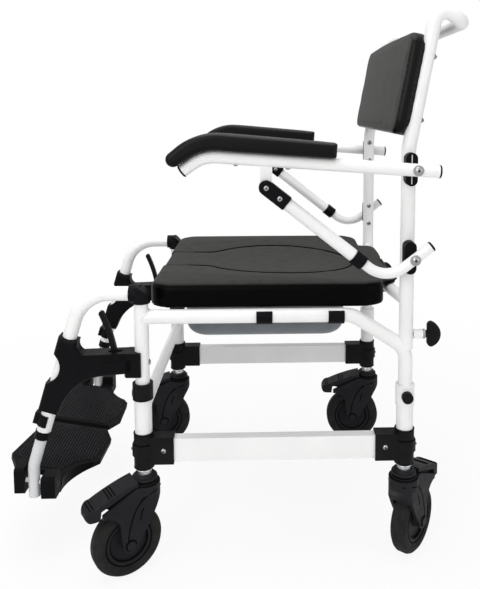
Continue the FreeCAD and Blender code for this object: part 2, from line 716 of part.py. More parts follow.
def make_fork():
    leg = n.axle_dia / 2 + n.fork_leg
    cheek_end = block_end - 2
    cheek_top = n.fork_top - n.pedal_thick + 1
    press = (cheek_end - pedal_hinge[0]) * math.tan(math.radians(n.pedal_travel))
    end_top = pedal_underside(cheek_end) - 2 - press
    face = outline(
        "XZ", (-crown_radius + 0.5, crown_top), (crown_radius - 3, cheek_top), (cheek_end, end_top),
        (cheek_end, end_top - 8),
        ((n.trail + leg + 12, end_top - 16), (n.trail + leg + 3, wheel_radius + 30)),
        (n.trail + leg, wheel_radius), ((n.trail, wheel_radius - leg), (n.trail - leg, wheel_radius)),
        ((2, wheel_radius + 30), (-crown_radius / 2, crown_bottom - 18)), (-crown_radius + 0.5, crown_bottom))
    shell = slab(face, Y_AXIS, n.fork_width)
    plan = Part.makeCylinder(crown_radius, n.fork_top).fuse(
        Part.makeBox(n.wheel_dia, n.fork_width, n.fork_top, Vector(0, -n.fork_width / 2, 0)))
    crown = Part.makeCylinder(crown_radius, crown_top - crown_bottom, Vector(0, 0, crown_bottom))
    rings = [
        Part.makeCylinder(crown_radius - inset, n.ring_height, Vector(0, 0, low))
        for inset, low in ((3, crown_top), (8, crown_top + n.ring_height))]
    blank = shell.common(plan).fuse([crown] + rings).removeSplitter()

    king_bore = Part.makeCylinder(
        n.kingpin_dia / 2 + n.slide_gap, n.kingpin_length + n.move_gap,
        Vector(0, 0, n.fork_top - n.kingpin_length - n.move_gap))
    holes = [
        crossways(n.axle_dia + 2 * n.seat_gap, n.fork_width, n.trail, wheel_radius),
        crossways(n.pedal_pin_dia + 2 * n.slide_gap, n.fork_width, *pedal_hinge)]
    rooms = caster_bay(n.tyre_width + 2 * n.wheel_gap, crown_radius + n.move_gap)
    fork = blank.cut(rooms + holes + [king_bore]).removeSplitter()

    axle = crossways(n.axle_dia, n.fork_width, n.trail, wheel_radius)
    caps = [
        Part.makeCylinder(n.axle_dia, n.axle_cap, Vector(n.trail, low, wheel_radius), Y_AXIS)
        for low in (-n.fork_width / 2 - n.axle_cap, n.fork_width / 2)]
    axle = axle.fuse(caps).removeSplitter()
    return group("fork_master", feature("fork_shell", fork), feature("fork_axle", axle))


def pedal_underside(x):
    """Height of the underside of the pedal's cap at a place along the trail."""
    share = (x - crown_radius) / (n.pedal_reach - crown_radius)
    return n.fork_top - n.pedal_thick + 3 - n.pedal_fall * share


def make_pedal():
    """A cap over the cheeks with a down-turned tip, and a block between the cheeks above the wheel."""
    tip = n.pedal_reach
    tip_top = pedal_top - n.pedal_fall
    lip = tip_top - n.pedal_lip
    cap_face = outline(
        "XZ", (pedal_root, pedal_top),
        ((pedal_root + 40, pedal_top - n.pedal_fall * 0.33), (tip - 17, tip_top + 8)),
        ((tip - 4, tip_top + 3), (tip, tip_top - 3)), ((tip - 1, lip + 4), (tip - 7, lip)),
        (block_end + 2, lip), (block_end, pedal_underside(block_end)),
        (crown_radius, pedal_underside(crown_radius)), (pedal_root, pedal_underside(crown_radius)))
    plan = Part.makeBox(tip, n.pedal_width, pedal_top, Vector(0, -n.pedal_width / 2, 0))
    plan = rounded(plan, n.pedal_width / 3, lambda edge: runs_along(edge, Z_AXIS) and edge.BoundBox.XMin > 1)
    cap = slab(cap_face, Y_AXIS, n.pedal_width).common(plan)
    block_width = n.tyre_width - 2 * n.wheel_gap
    joined = n.pedal_thick / 3
    block_face = outline(
        "XZ", (block_start, block_bottom), (block_end, block_bottom),
        (block_end, pedal_underside(block_end) + joined),
        (block_start, pedal_underside(block_start) + joined))
    block = slab(block_face, Y_AXIS, block_width)
    pin = crossways(n.pedal_pin_dia, n.fork_width, *pedal_hinge)
    wheel_room = caster_bay(n.fork_width, n.wheel_dia)[0]
    crown_room = Part.makeCylinder(crown_radius + n.move_gap, n.fork_top + n.move_gap)
    pedal = cap.fuse(block).cut(wheel_room).fuse(pin).cut(crown_room)
    return feature("pedal_master", pedal.removeSplitter())


def wheel_body(name, half):
    """A wheel piece turned from one half of its section, with its axis laid along Y on the axle."""
    body = turned_body(name, half + [(radius, -height) for radius, height in reversed(half)])
    place(body, (s.trail, 0, s.wheel_dia / 2), Rotation(X_AXIS, 90))
    return body


def make_hub():
    bore = s.axle_dia / 2 + s.slide_gap
    rim = s.hub_dia / 2
    boss = s.tyre_width / 2 - 0.5
    web = s.tyre_width / 4
    flange = s.tyre_width / 2 - 3
    half = [
        (bore, boss), (s.axle_dia / 2 + 9, boss), (s.axle_dia / 2 + 11, web), (rim - 8, web),
        (rim - 6, flange), (rim, flange)]
    return wheel_body("hub_master", half)


def make_tyre():
    inside = s.hub_dia / 2 + s.seat_gap
    outside = s.wheel_dia / 2
    half = [
        (inside, s.tyre_width / 2 - 3), (inside + 8, s.tyre_width / 2), (outside - 7, s.tyre_width / 2 - 1),
        (outside - 2, s.tyre_width / 2 - 5), (outside, s.tyre_width / 2 - 9)]
    return wheel_body("tyre_master", half)


# Seat frame: posts, rails, back tube and what is bolted to them

def at_left(y, z):
    return Vector(left, y, z)


rail_path = bent_path(
    [at_left(front, n.seat_rail_axis), at_left(n.rail_slope_start, n.seat_rail_axis),
     at_left(rear, n.rail_slope_end), at_left(rear, n.post_bottom)],
    [n.rail_bend, n.leg_bend])


lean = math.radians(n.lean)


def back_line(z):
    """Front-back place of a leaning back post's axis at a height."""
    return rear + (z - n.lean_start) * math.tan(lean)


def back_points():
    """The left half of the back tube, from its foot to the push bar's corner."""
    drop = math.radians(n.handle_drop)
    foot = at_left(rear, n.rail_slope_end)
    bend = at_left(rear, n.lean_start)
    grip = at_left(back_line(n.handle_z) + n.handle_y, n.handle_z)
    slope = n.handle_y / (math.cos(drop) + math.sin(drop) * math.tan(lean))
    top = at_left(grip.y - slope * math.cos(drop), grip.z + slope * math.sin(drop))
    return [foot, bend, top, grip]


def flip(point):
    return Vector(-point.x, point.y, point.z)


def make_seat_frame():
    publish_both("front_posts", tube_bar(
        "front_post", s.tube_dia, s.tube_dia - 2 * s.tube_wall, s.post_top - s.post_bottom,
        (LEFT, FRONT, s.post_bottom)))

    weld_room = n.tube_dia + 2 * n.seat_gap
    post_room = Part.makeCylinder(weld_room / 2, n.post_top, Vector(left, front, 0))
    rail = sweep(rail_path, n.tube_dia).cut([sweep(rail_path, n.tube_dia - 2 * n.tube_wall), post_room])
    publish_both("seat_rails", feature("seat_rail", rail))

    points = back_points()
    radii = [n.lean_bend, n.handle_bend, n.grip_bend]
    points += [flip(point) for point in reversed(points)]
    whole = bent_tube(points, radii + radii[::-1], n.tube_dia, n.tube_wall)
    rail_room = sweep(rail_path, weld_room)
    screw_hole = Part.makeCylinder(
        n.knob_screw_dia / 2 + n.slide_gap, n.tube_dia, Vector(left, rear, n.knob_z), Y_AXIS)
    rooms = [rail_room, screw_hole]
    rooms += [room.mirror(Vector(), X_AXIS) for room in rooms]
    boss = tube_bar(
        "knob_boss", s.boss_dia, s.knob_screw_dia + 2 * s.slide_gap, s.knob_screw_length - 2 * s.move_gap,
        (LEFT, REAR + s.tube_dia / 2 + s.seat_gap, s.knob_z), TO_REAR)
    bent = feature("back_bend", whole.cut(rooms))
    publish(group("back_tube", bent, boss, mirror(boss, "knob_boss_mirror")), "back_tube")

    cross_end = Vector(left, rear, n.cross_axis)
    cross_middle = Vector(0, rear - n.cross_bow, n.cross_axis)
    cross_path = Part.Wire(Part.Arc(cross_end, cross_middle, flip(cross_end)).toShape())
    posts = [
        Part.makeCylinder(weld_room / 2, 4 * n.cross_dia, Vector(x, rear, n.cross_axis - 2 * n.cross_dia))
        for x in (left, -left)]
    cross = sweep(cross_path, n.cross_dia).cut([sweep(cross_path, n.cross_dia - 2 * n.tube_wall)] + posts)
    publish(feature("rear_cross_tube", largest_solid(cross)), "rear_cross_tube")

    make_wing_knobs()
    make_latch_blocks()
    make_arm_brackets()


def largest_solid(shape):
    """The main solid of a cut that also left small offcuts."""
    return max(shape.Solids, key=lambda solid: solid.Volume)


def make_wing_knobs():
    surface = REAR + s.tube_dia / 2
    screw = cylinder("knob_screw", s.knob_screw_dia, s.knob_screw_length + s.tube_wall * 2,
                     (LEFT, surface - s.tube_wall * 2, s.knob_z), TO_REAR)
    hub_y = surface + s.knob_screw_length
    hub = cylinder("knob_hub", s.knob_hub_dia, s.knob_depth / 2, (LEFT, hub_y, s.knob_z), TO_REAR)
    top = n.knob_height / 2
    depth = n.knob_depth
    face = outline(
        "YZ", (0, -0.6 * top), ((0.08 * depth, -0.9 * top), (0.35 * depth, -top)),
        ((depth, 0), (0.35 * depth, top)), ((0.08 * depth, 0.9 * top), (0, 0.6 * top)))
    bow = slab(face, X_AXIS, n.knob_width)
    bow = rounded(bow, n.knob_width * 0.3, lambda edge: edge.BoundBox.XLength < 1e-3)
    wings = feature("knob_wings", bow)
    place(wings, (LEFT, hub_y + s.knob_depth / 8, s.knob_z))
    publish_pair(fuse("wing_knob", screw, hub, wings), "wing_knob")


def make_latch_blocks():
    low = s.latch_top - s.latch_height
    block = common(
        "latch_blank",
        box("latch_box", s.latch_width, s.latch_radius * 1.2, s.latch_height,
            (LEFT - s.latch_width / 2, FRONT - s.latch_radius * 1.2, low)),
        cylinder("latch_round", 2 * s.latch_radius, s.latch_height, (LEFT, FRONT, low)))
    post = cylinder("latch_post", s.tube_dia + 2 * s.seat_gap, s.latch_height, (LEFT, FRONT, low))
    publish_both("latch_blocks", cut("latch_block", block, post))


def make_arm_brackets():
    outer_face = s.arm_x - s.arm_dia / 2 - s.move_gap
    rod_face = s.arm_x - s.strut_rod_dia / 2 - s.move_gap
    upper = make_bracket("upper_bracket", s.arm_pivot_z, outer_face)
    lower = make_bracket("lower_bracket", s.strut_foot_z, rod_face)
    publish_both("arm_brackets", upper, lower)

    bolts = []
    for name, y, z, face, shank, tube in (
            ("arm_bolt", s.arm_pivot_y, s.arm_pivot_z, outer_face, s.arm_bolt_dia, s.arm_dia),
            ("strut_bolt", s.strut_foot_y, s.strut_foot_z, rod_face, s.strut_bolt_dia, s.strut_rod_dia)):
        length = tube + 2 * s.move_gap
        bolt = cylinder(name + "_shank", shank, length + s.seat_gap, (face, y, z), TO_LEFT)
        bolts.append(fuse(name, bolt, dome(name + "_head", s.bolt_head_dia, (face + length, y, z), TO_LEFT)))
        for step in (-1, 1):
            nut_z = z + step * s.bracket_height * 0.37
            bolts.append(dome("bracket_nut", s.nut_dia, (LEFT - s.tube_dia / 2, REAR, nut_z), TO_RIGHT))
    latch_z = s.latch_top - s.latch_height / 2
    bolts.append(dome("latch_nut", s.nut_dia, (LEFT, FRONT + s.tube_dia / 2, latch_z), TO_REAR))
    bolts += cushion_screws()
    publish_both("frame_bolts", *bolts)


def make_bracket(name, z, face):
    """An oval block between the back post and the inner side of an armrest tube."""
    straight = s.bracket_height - s.bracket_width
    thick = face - LEFT
    web = box(
        name + "_web", thick, s.bracket_width, straight, (LEFT, REAR - s.bracket_width / 2, z - straight / 2))
    ends = [
        cylinder(name + "_end", s.bracket_width, thick, (LEFT, REAR, z + step * straight / 2), TO_LEFT)
        for step in (-1, 1)]
    post = cylinder(
        name + "_post", s.tube_dia + 2 * s.seat_gap, s.bracket_height, (LEFT, REAR, z - s.bracket_height / 2))
    return cut(name, fuse(name + "_blank", web, *ends), post)


def on_back_post(z, out):
    """A point out millimetres behind the leaning post's axis, square to the post from a height on it."""
    axis = at_left(back_line(z), z)
    return axis + Vector(0, math.cos(lean), -math.sin(lean)) * out


def cushion_screws():
    screws = []
    for share in (0.177, 0.784):
        seat = on_back_post(n.cushion_bottom + n.cushion_height * share, n.tube_dia / 2)
        turn = Rotation(Z_AXIS, Vector(0, math.cos(lean), -math.sin(lean)))
        screws.append(dome("cushion_screw", s.nut_dia, (seat.x, seat.y, seat.z), turn))
    return screws


# Seat, insert, bucket and back cushion

pad_bottom = n.seat_rail_axis + n.tube_dia / 2 + n.move_gap


def rounded_plate(half_width, low_y, high_y, low_z, high_z, corner):
    """An upright block with rounded corners in plan."""
    block = Part.makeBox(2 * half_width, high_y - low_y, high_z - low_z, Vector(-half_width, low_y, low_z))
    return rounded(block, corner, lambda edge: runs_along(edge, Z_AXIS))


def dish_room():
    """A long barrel whose underside is the dished surface of the seat, deeper towards the rear."""
    radius = (n.dish_half ** 2 + n.pad_dish ** 2) / (2 * n.pad_dish)
    length = n.pad_rear - n.pad_front + 4 * n.pad_corner
    middle = Vector(0, (n.pad_front + n.pad_rear) / 2, n.pad_top - n.pad_dish)
    barrel = Part.makeCylinder(radius, length, middle + Vector(0, -length / 2, radius), Y_AXIS)
    barrel.rotate(middle, X_AXIS, -n.dish_tilt)
    return barrel


def keyhole(shrink, low_z, high_z):
    """The insert's outline, an oval with a throat to the front, drawn in by shrink."""
    oval = Part.Ellipse(Vector(0, n.oval_y, 0), n.oval_length - shrink, n.oval_half - shrink)
    oval.rotate(Placement(Vector(0, n.oval_y, 0), Rotation(Z_AXIS, 90), Vector()))
    face = Part.Face(Part.Wire(oval.toShape()))
    throat_half = n.throat_half - shrink
    throat_start = n.pad_front - shrink - 1
    throat = Part.makePlane(2 * throat_half, n.oval_y - throat_start, Vector(-throat_half, throat_start, 0))
    whole = face.fuse(throat).removeSplitter().Faces[0]
    whole.translate(Vector(0, 0, low_z))
    block = whole.extrude(Vector(0, 0, high_z - low_z))
    return rounded(block, n.flare_round + shrink, lambda edge: is_flare(edge, throat_half))


def is_flare(edge, throat_half):
    """True for the upright edges where the throat meets the oval."""
    middle = edge.BoundBox.Center
    at_side = abs(middle.x) > throat_half / 2
    return runs_along(edge, Z_AXIS) and at_side and middle.y > n.pad_front


def make_seat():
    pad = rounded_plate(n.pad_half, n.pad_front, n.pad_rear, pad_bottom, n.pad_top, n.pad_corner)
    pad = rounded(pad, n.pad_edge, lambda edge: lies_at(edge, "Z", n.pad_top))
    pad = rounded(pad, n.pad_foot, lambda edge: lies_at(edge, "Z", pad_bottom))
    tongue_low = n.cross_axis + n.cross_dia / 2 + n.move_gap
    tongue = rounded_plate(
        n.tongue_half, n.pad_rear - 2 * n.pad_corner, n.tongue_rear, tongue_low, tongue_low + n.tongue_thick,
        n.pad_corner * 0.7)
    insert_low = n.pad_top - n.insert_thick
    below_ledge = keyhole(n.ledge, pad_bottom - 1, insert_low + 1)
    above_ledge = keyhole(0, insert_low, n.pad_top + 1)
    pad = pad.fuse(tongue).cut([dish_room(), below_ledge, above_ledge]).removeSplitter()
    publish(feature("seat_pad", pad), "seat_pad")

    insert_low += n.move_gap
    body = rounded_plate(n.pad_half, n.pad_front, n.pad_rear, insert_low, n.pad_top, n.pad_corner)
    body = rounded(body, n.pad_edge, lambda edge: lies_at(edge, "Z", n.pad_top))
    insert = keyhole(n.insert_gap, insert_low, n.pad_top).common(body).cut(dish_room())
    publish(feature("seat_insert", insert.removeSplitter()), "seat_insert")

    make_seat_clips()
    make_bucket()


def make_seat_clips():
    """Cradles under the pad on the seat rails, and hooks of the tongue on the rear cross tube."""
    inner = s.tube_dia + 2 * s.seat_gap
    outer = inner + 2 * s.clip_wall
    clips = []
    for y in (s.clip_front_y, s.clip_rear_y):
        low_y = y - s.clip_width / 2
        cradle = cylinder("clip_cradle", outer, s.clip_width, (LEFT, low_y, s.seat_rail_axis), TO_REAR)
        rail_room = cylinder("clip_room", inner, s.clip_width, (LEFT, low_y, s.seat_rail_axis), TO_REAR)
        top = box("clip_top", outer, s.clip_width, outer,
                  (LEFT - outer / 2, low_y, s.seat_rail_axis + s.tube_dia / 2 - s.clip_wall))
        clips.append(cut("rail_clip", cradle, rail_room, top))
    publish_both("seat_clips", *clips, cross_hook())


def cross_hook():
    """A hook under the tongue, round the back of the bowed cross tube."""
    x = n.clip_cross_x
    bow_radius = (left ** 2 + n.cross_bow ** 2) / (2 * n.cross_bow)
    centre_y = rear - n.cross_bow + bow_radius
    y = centre_y - math.sqrt(bow_radius ** 2 - x ** 2)
    slope = math.degrees(math.asin(x / bow_radius))
    inner = n.cross_dia / 2 + n.seat_gap + n.cross_dia * 0.02
    outer = inner + n.clip_wall
    ring = Part.makeCylinder(outer, n.clip_width, Vector(-n.clip_width / 2, 0, 0), X_AXIS)
    hole = Part.makeCylinder(inner, n.clip_width, Vector(-n.clip_width / 2, 0, 0), X_AXIS)
    top = Part.makeBox(2 * n.clip_width, 4 * outer, outer, Vector(-n.clip_width, -2 * outer, n.cross_dia / 2))
    front_side = Part.makeBox(
        2 * n.clip_width, 2 * outer, 2 * outer, Vector(-n.clip_width, -2 * outer - inner * 0.55, -outer))
    low_side = Part.makeBox(
        2 * n.clip_width, 4 * outer, outer, Vector(-n.clip_width, -2 * outer, -2 * outer + 1))
    hook = feature("cross_hook", largest_solid(ring.cut([hole, top, front_side, low_side])))
    hook.Placement = Placement(Vector(x, y, n.cross_axis), Rotation(Z_AXIS, slope))
    return hook


def tub(half, low_y, high_y, low_z, high_z, corner, lower_round):
    """A solid tub with rounded corners and a rounded lower edge."""
    block = rounded_plate(half, low_y, high_y, low_z, high_z, corner)
    return rounded(block, lower_round, lambda edge: lies_at(edge, "Z", low_z))


def make_bucket():
    wall = n.bucket_wall
    outside = tub(n.bucket_half, n.bucket_front, n.bucket_rear, n.bucket_bottom, n.bucket_top,
                  n.bucket_corner, n.bucket_round)
    rim = rounded_plate(
        n.bucket_half + n.rim_width, n.bucket_front - n.rim_width, n.bucket_rear + n.rim_width,
        n.bucket_top - n.rim_thick, n.bucket_top, n.bucket_corner + n.rim_width)
    inside = tub(n.bucket_half - wall, n.bucket_front + wall, n.bucket_rear - wall, n.bucket_bottom + wall,
                 n.bucket_top + n.rim_thick, n.bucket_corner - wall, n.bucket_round - wall)
    publish(feature("bucket", outside.fuse(rim).cut(inside).removeSplitter()), "bucket")

    # each runner hangs from the seat pad, stands beside the bucket rim and turns in under it
    runner_x = n.bucket_half + n.rim_width + n.move_gap
    lip_top = n.bucket_top - n.rim_thick - n.move_gap
    lip_bottom = lip_top - n.runner_thick
    length = n.bucket_rear - n.bucket_front + 2 * n.rim_width
    face = outline(
        "XZ", (runner_x - n.runner_lip, lip_bottom), (runner_x + n.runner_thick, lip_bottom),
        (runner_x + n.runner_thick, pad_bottom - n.runner_thick),
        (runner_x + n.runner_thick + n.runner_lip, pad_bottom - n.runner_thick),
        (runner_x + n.runner_thick + n.runner_lip, pad_bottom), (runner_x, pad_bottom),
        (runner_x, lip_top), (runner_x - n.runner_lip, lip_top))
    runner = feature("bucket_runner", face.extrude(Y_AXIS * length))
    runner.Placement = Placement(Vector(0, n.bucket_front - n.rim_width, 0), Rotation())
    publish_both("bucket_runners", runner)


def make_back_cushion():
    """A flat pad with a crowned front, leaning on the front of the back posts."""
    half = n.cushion_half
    height = n.cushion_height
    full = n.cushion_thick + n.cushion_crown
    block = Part.makeBox(2 * half, full, height, Vector(-half, -full, 0))
    block = rounded(block, n.cushion_corner, lambda edge: runs_along(edge, Y_AXIS))
    radius = (half ** 2 + n.cushion_crown ** 2) / (2 * n.cushion_crown)
    barrel = Part.makeCylinder(radius, 3 * height, Vector(0, radius - full, -height))
    cushion = block.common(barrel)
    cushion = rounded(cushion, n.cushion_edge, lambda edge: edge.BoundBox.YMin < -n.cushion_edge * 1.5)
    seat = on_back_post(n.cushion_bottom, n.cushion_sink - n.tube_dia / 2)
    cushion.Placement = Placement(Vector(0, seat.y, seat.z), Rotation(X_AXIS, -n.lean))
    low = on_back_post(n.cushion_bottom - height, 0)
    high = on_back_post(n.cushion_bottom + 2 * height, 0)
    post_room = Part.makeCylinder(n.tube_dia / 2 + n.move_gap, (high - low).Length, low, high - low)
    rooms = [post_room, post_room.mirror(Vector(), X_AXIS)]
    publish(feature("back_cushion", cushion.cut(rooms)), "back_cushion")


# Footrests, drawn for the left side

fall = math.radians(n.hanger_fall)
hanger_down = Vector(0, -math.cos(fall), -math.sin(fall))


def on_hanger(z):
    """The point of the hanger's lower run at a height."""
    bend = at_left(n.hanger_bend_y, n.hanger_axis)
    return bend + hanger_down * ((n.hanger_axis - z) / math.sin(fall))


def hanger_path(end_z):
    start = at_left(front - n.elbow_reach * 0.4, n.hanger_axis)
    return bent_path([start, at_left(n.hanger_bend_y, n.hanger_axis), on_hanger(end_z)], [n.hanger_bend])


def make_footrests():
    path = hanger_path(n.hanger_end)
    tube = sweep(path, n.tube_dia).cut(sweep(path, n.tube_dia - 2 * n.tube_wall))
    publish_pair(feature("hanger_tube", tube), "hanger_tube")

    elbow = make_elbow()
    housing, lever_hinge = make_housing()
    publish_pair(group("hanger_mouldings", elbow, housing, *make_clamp()), "hanger_mouldings")
    publish_pair(make_lever(lever_hinge), "release_lever")
    make_foot_tube()
    publish_pair(make_footplate(), "footplate")


def make_elbow():
    """A capped elbow that turns on the front post by a spigot and holds the hanger tube."""
    low = n.post_top + n.move_gap
    high = n.hanger_axis + n.elbow_dia / 2 - 2
    barrel = Part.makeCylinder(n.elbow_dia / 2, high - low, Vector(left, front, low))
    barrel = rounded(barrel, 6, lambda edge: lies_at(edge, "Z", high))
    heel = front + n.elbow_dia / 2
    slope = outline("YZ", (heel - n.elbow_bevel, high), (heel, high - n.elbow_bevel), (heel, high))
    barrel = barrel.cut(slab(slope, X_AXIS, 2 * n.elbow_dia, left))
    socket = Part.makeCylinder(
        n.elbow_dia / 2 - 1, n.elbow_reach, Vector(left, front, n.hanger_axis), -Y_AXIS)
    spigot_dia = n.tube_dia - 2 * n.tube_wall - 2 * n.slide_gap
    spigot_low = Vector(left, front, low - n.spigot_length)
    spigot = Part.makeCylinder(spigot_dia / 2, n.spigot_length + 1, spigot_low)
    below = Part.makeBox(
        2 * n.elbow_dia, 2 * n.elbow_reach, n.elbow_dia,
        Vector(left - n.elbow_dia, front - 2 * n.elbow_reach, low - n.elbow_dia))
    socket = socket.cut(below)
    bore = sweep(hanger_path(n.housing_top), n.tube_dia + 2 * n.seat_gap)
    return feature("hanger_elbow", barrel.fuse([socket, spigot]).cut(bore).removeSplitter())


def make_housing():
    """The moulding round the hanger's lower run, with an arm back to the latch block."""
    wall = n.tube_dia / 2 + n.housing_wall
    across = Vector(0, math.sin(fall), -math.cos(fall))
    top = on_hanger(n.housing_top)
    low = on_hanger(n.housing_bottom)
    top_front = top - across * wall
    top_back = top + across * wall
    low_front = low - across * wall
    low_back = low + across * wall
    arm_top = n.latch_top
    arm_low = n.latch_top - n.latch_height + 5
    arm_end = front - n.latch_radius * 0.8
    mid_y = (low_back.y + arm_end) / 2
    face = outline(
        "YZ", (top_front.y, top_front.z), (top_back.y, top_back.z),
        ((top_back.y + 1, arm_top + 4), (top_back.y + 10, arm_top - 2)),
        (arm_end, arm_top), (arm_end, arm_low), (mid_y + 22, arm_low - 3),
        ((mid_y - 20, arm_low - 17), (low_back.y + 8, low_back.z + 18)),
        (low_back.y, low_back.z), (low_front.y, low_front.z))
    block = slab(face, X_AXIS, n.housing_width, left)
    block = rounded(block, 7, lambda edge: edge.BoundBox.XLength < 1e-3 and edge.BoundBox.YMax < arm_end - 1)
    tube_room = sweep(hanger_path(n.hanger_end), n.tube_dia + 2 * n.seat_gap)
    notch_y = on_hanger(n.notch_z).y - n.notch_radius
    notch = Part.makeCylinder(
        n.notch_radius, n.housing_width, Vector(left - n.housing_width / 2, notch_y, n.notch_z), X_AXIS)
    latch_room = Part.makeCylinder(n.latch_radius + n.move_gap, n.post_top, Vector(left, front, 0))
    hinge = Vector(left, n.lever_y, arm_top - n.lever_pin_dia - 4)
    slot_width = n.lever_width + 2 * n.move_gap
    slot = Part.makeBox(
        slot_width, n.lever_pin_dia * 4, n.lever_pin_dia * 4,
        Vector(left - slot_width / 2, n.lever_y - n.lever_pin_dia * 2, hinge.z - n.lever_pin_dia))
    pin_room = Part.makeCylinder(
        n.lever_pin_dia / 2 + n.slide_gap, n.housing_width / 2,
        Vector(left - n.housing_width / 4, hinge.y, hinge.z), X_AXIS)
    housing = block.cut([tube_room, notch, latch_room, slot, pin_room])
    return feature("hanger_housing", largest_solid(housing)), hinge


def make_clamp():
    """The band clamp on the hanger's end and the bush that guides the foot tube."""
    pieces = []
    axis = -hanger_down
    band_low = on_hanger(n.hanger_end + n.band_rise)
    inner = n.tube_dia / 2 + n.seat_gap
    band = Part.makeCylinder(inner + n.band_wall, n.band_height, band_low, axis)
    ear = Part.makeBox(14, 9, n.band_height, Vector(-7, -inner - n.band_wall - 6, 0))
    ear.Placement = Placement(band_low, Rotation(Z_AXIS, axis))
    hole = Part.makeCylinder(inner, n.band_height, band_low, axis)
    open_side = Part.makeBox(2 * n.tube_dia, n.tube_dia, n.band_height, Vector(-n.tube_dia, inner / 3, 0))
    open_side.Placement = ear.Placement
    pieces.append(feature("clamp_band", band.fuse(ear).cut([hole, open_side]).removeSplitter()))
    bush_top = on_hanger(n.hanger_end) + hanger_down * n.seat_gap
    spigot_dia = n.tube_dia - 2 * n.tube_wall - 2 * n.seat_gap
    bush = Part.makeCylinder(n.bush_dia / 2, n.bush_length, bush_top, hanger_down)
    spigot = Part.makeCylinder(spigot_dia / 2, n.bush_length + 1, bush_top + hanger_down, axis)
    bore = Part.makeCylinder(
        n.foot_dia / 2 + n.slide_gap, 3 * n.bush_length, bush_top + hanger_down * (1.5 * n.bush_length), axis)
    pieces.append(feature("foot_bush", bush.fuse(spigot).cut(bore).removeSplitter()))
    return pieces


def make_lever(hinge):
    """A bowed hand lever that leans forward out of the slot in the housing arm."""
    tilt = math.radians(n.lever_lean)
    height = n.lever_height
    half = n.lever_thick / 2
    boss = n.lever_pin_dia * 0.8

    def beside(along, aside):
        """A place along the lever's chord and to the rear of it."""
        y = aside * math.cos(tilt) - along * math.sin(tilt)
        return y, along * math.cos(tilt) + aside * math.sin(tilt)

    face = outline(
        "YZ", (-boss, 0), ((0, -boss), (boss, 0)),
        (beside(height / 2, n.lever_bow + half), beside(height, half)),
        (beside(height + half, 0), beside(height, -half)),
        (beside(height / 2, n.lever_bow - half), (-boss, 0)))
    blade = slab(face, X_AXIS, n.lever_width)
    blade.translate(hinge)
    pin_length = n.housing_width / 2 - 2
    pin = Part.makeCylinder(n.lever_pin_dia / 2, pin_length, hinge - X_AXIS * (pin_length / 2), X_AXIS)
    return feature("release_lever", blade.fuse(pin).removeSplitter())


foot_bend_point = on_hanger(n.foot_bend_z)


plate_turn = Rotation(X_AXIS, -n.plate_tilt)
plate_hinge = Vector(left, foot_bend_point.y, n.plate_pin_z)
hinge_along = plate_turn.multVec(Y_AXIS)
toe_lug_end = n.lug_inside + n.toe_lug_thick
heel_lug_end = n.lug_inside + n.heel_lug_thick


def hinge_bar(dia):
    """A round bar on the footplate's hinge axis, through both lugs."""
    return Part.makeCylinder(dia / 2, toe_lug_end + heel_lug_end, hinge_along * -toe_lug_end, hinge_along)


def make_foot_tube():
    """A tube that slides in the hanger, turns upright and carries the hinge pin of the footplate."""
    start = on_hanger(n.hanger_end) - hanger_down * n.foot_inside
    end = Vector(left, foot_bend_point.y, n.foot_end)
    tube = bent_tube([start, foot_bend_point, end], [n.foot_bend], n.foot_dia, n.tube_wall)
    pin = hinge_bar(n.plate_pin_dia)
    pin.translate(plate_hinge)
    room = hinge_bar(n.plate_pin_dia + 2 * n.seat_gap)
    room.translate(plate_hinge)
    bar = feature("foot_bar", tube.cut(room))
    publish_pair(group("foot_tube", bar, feature("plate_pin", pin)), "foot_tube")


def plate_spot(across, along):
    """A point of the footplate's plan, in shares of its width from outside and of its length from the toe."""
    width = n.plate_inner - n.plate_outer
    length = n.plate_toe + n.plate_heel
    return -n.plate_outer - across * width, -n.plate_toe + along * length


def make_footplate():
    """A tilted plate with upright lugs beside the foot tube, drawn round its hinge."""
    outer = -n.plate_outer
    curve_start = (outer - n.plate_thick * 0.8, heel_lug_end + n.plate_thick * 0.4)
    curve_middle = plate_spot(0.224, 0.738)
    curve_end = plate_spot(0.356, 0.927)
    face = outline(
        "XY", (outer, -toe_lug_end), (outer, heel_lug_end), curve_start, (curve_middle, curve_end),
        plate_spot(0.429, 0.988), plate_spot(0.82, 1), plate_spot(1, 0.896), plate_spot(1, 0.116),
        plate_spot(0.307, 0), plate_spot(0.112, 0.14))
    top = -n.plate_drop
    plate = slab(face, Z_AXIS, n.plate_thick, top - n.plate_thick / 2)
    notch = Part.makeBox(
        n.plate_notch, 2 * n.lug_inside, 4 * n.plate_thick,
        Vector(-n.plate_notch, -n.lug_inside, top - 2 * n.plate_thick))
    plate = plate.cut(notch).fuse(make_apron(curve_start, curve_middle, curve_end))
    plate.Placement = Placement(Vector(), plate_turn)

    lugs = []
    for low_y, thick, depth, rise in (
            (-toe_lug_end, n.toe_lug_thick, n.toe_lug_depth, n.toe_lug_rise),
            (n.lug_inside, n.heel_lug_thick, n.heel_lug_depth, n.heel_lug_rise)):
        lug = Part.makeBox(n.lug_width, thick, depth + rise, Vector(n.lug_proud - n.lug_width, low_y, -depth))
        lug = rounded(lug, n.lug_proud / 2, lambda edge: runs_along(edge, Y_AXIS) and edge.BoundBox.XMin > 0)
        lugs.append(lug)
    pin_room = hinge_bar(n.plate_pin_dia + 2 * n.slide_gap)
    piece = feature("footplate", plate.fuse(lugs).cut(pin_room).removeSplitter())
    piece.Placement = Placement(plate_hinge, Rotation())
    return piece


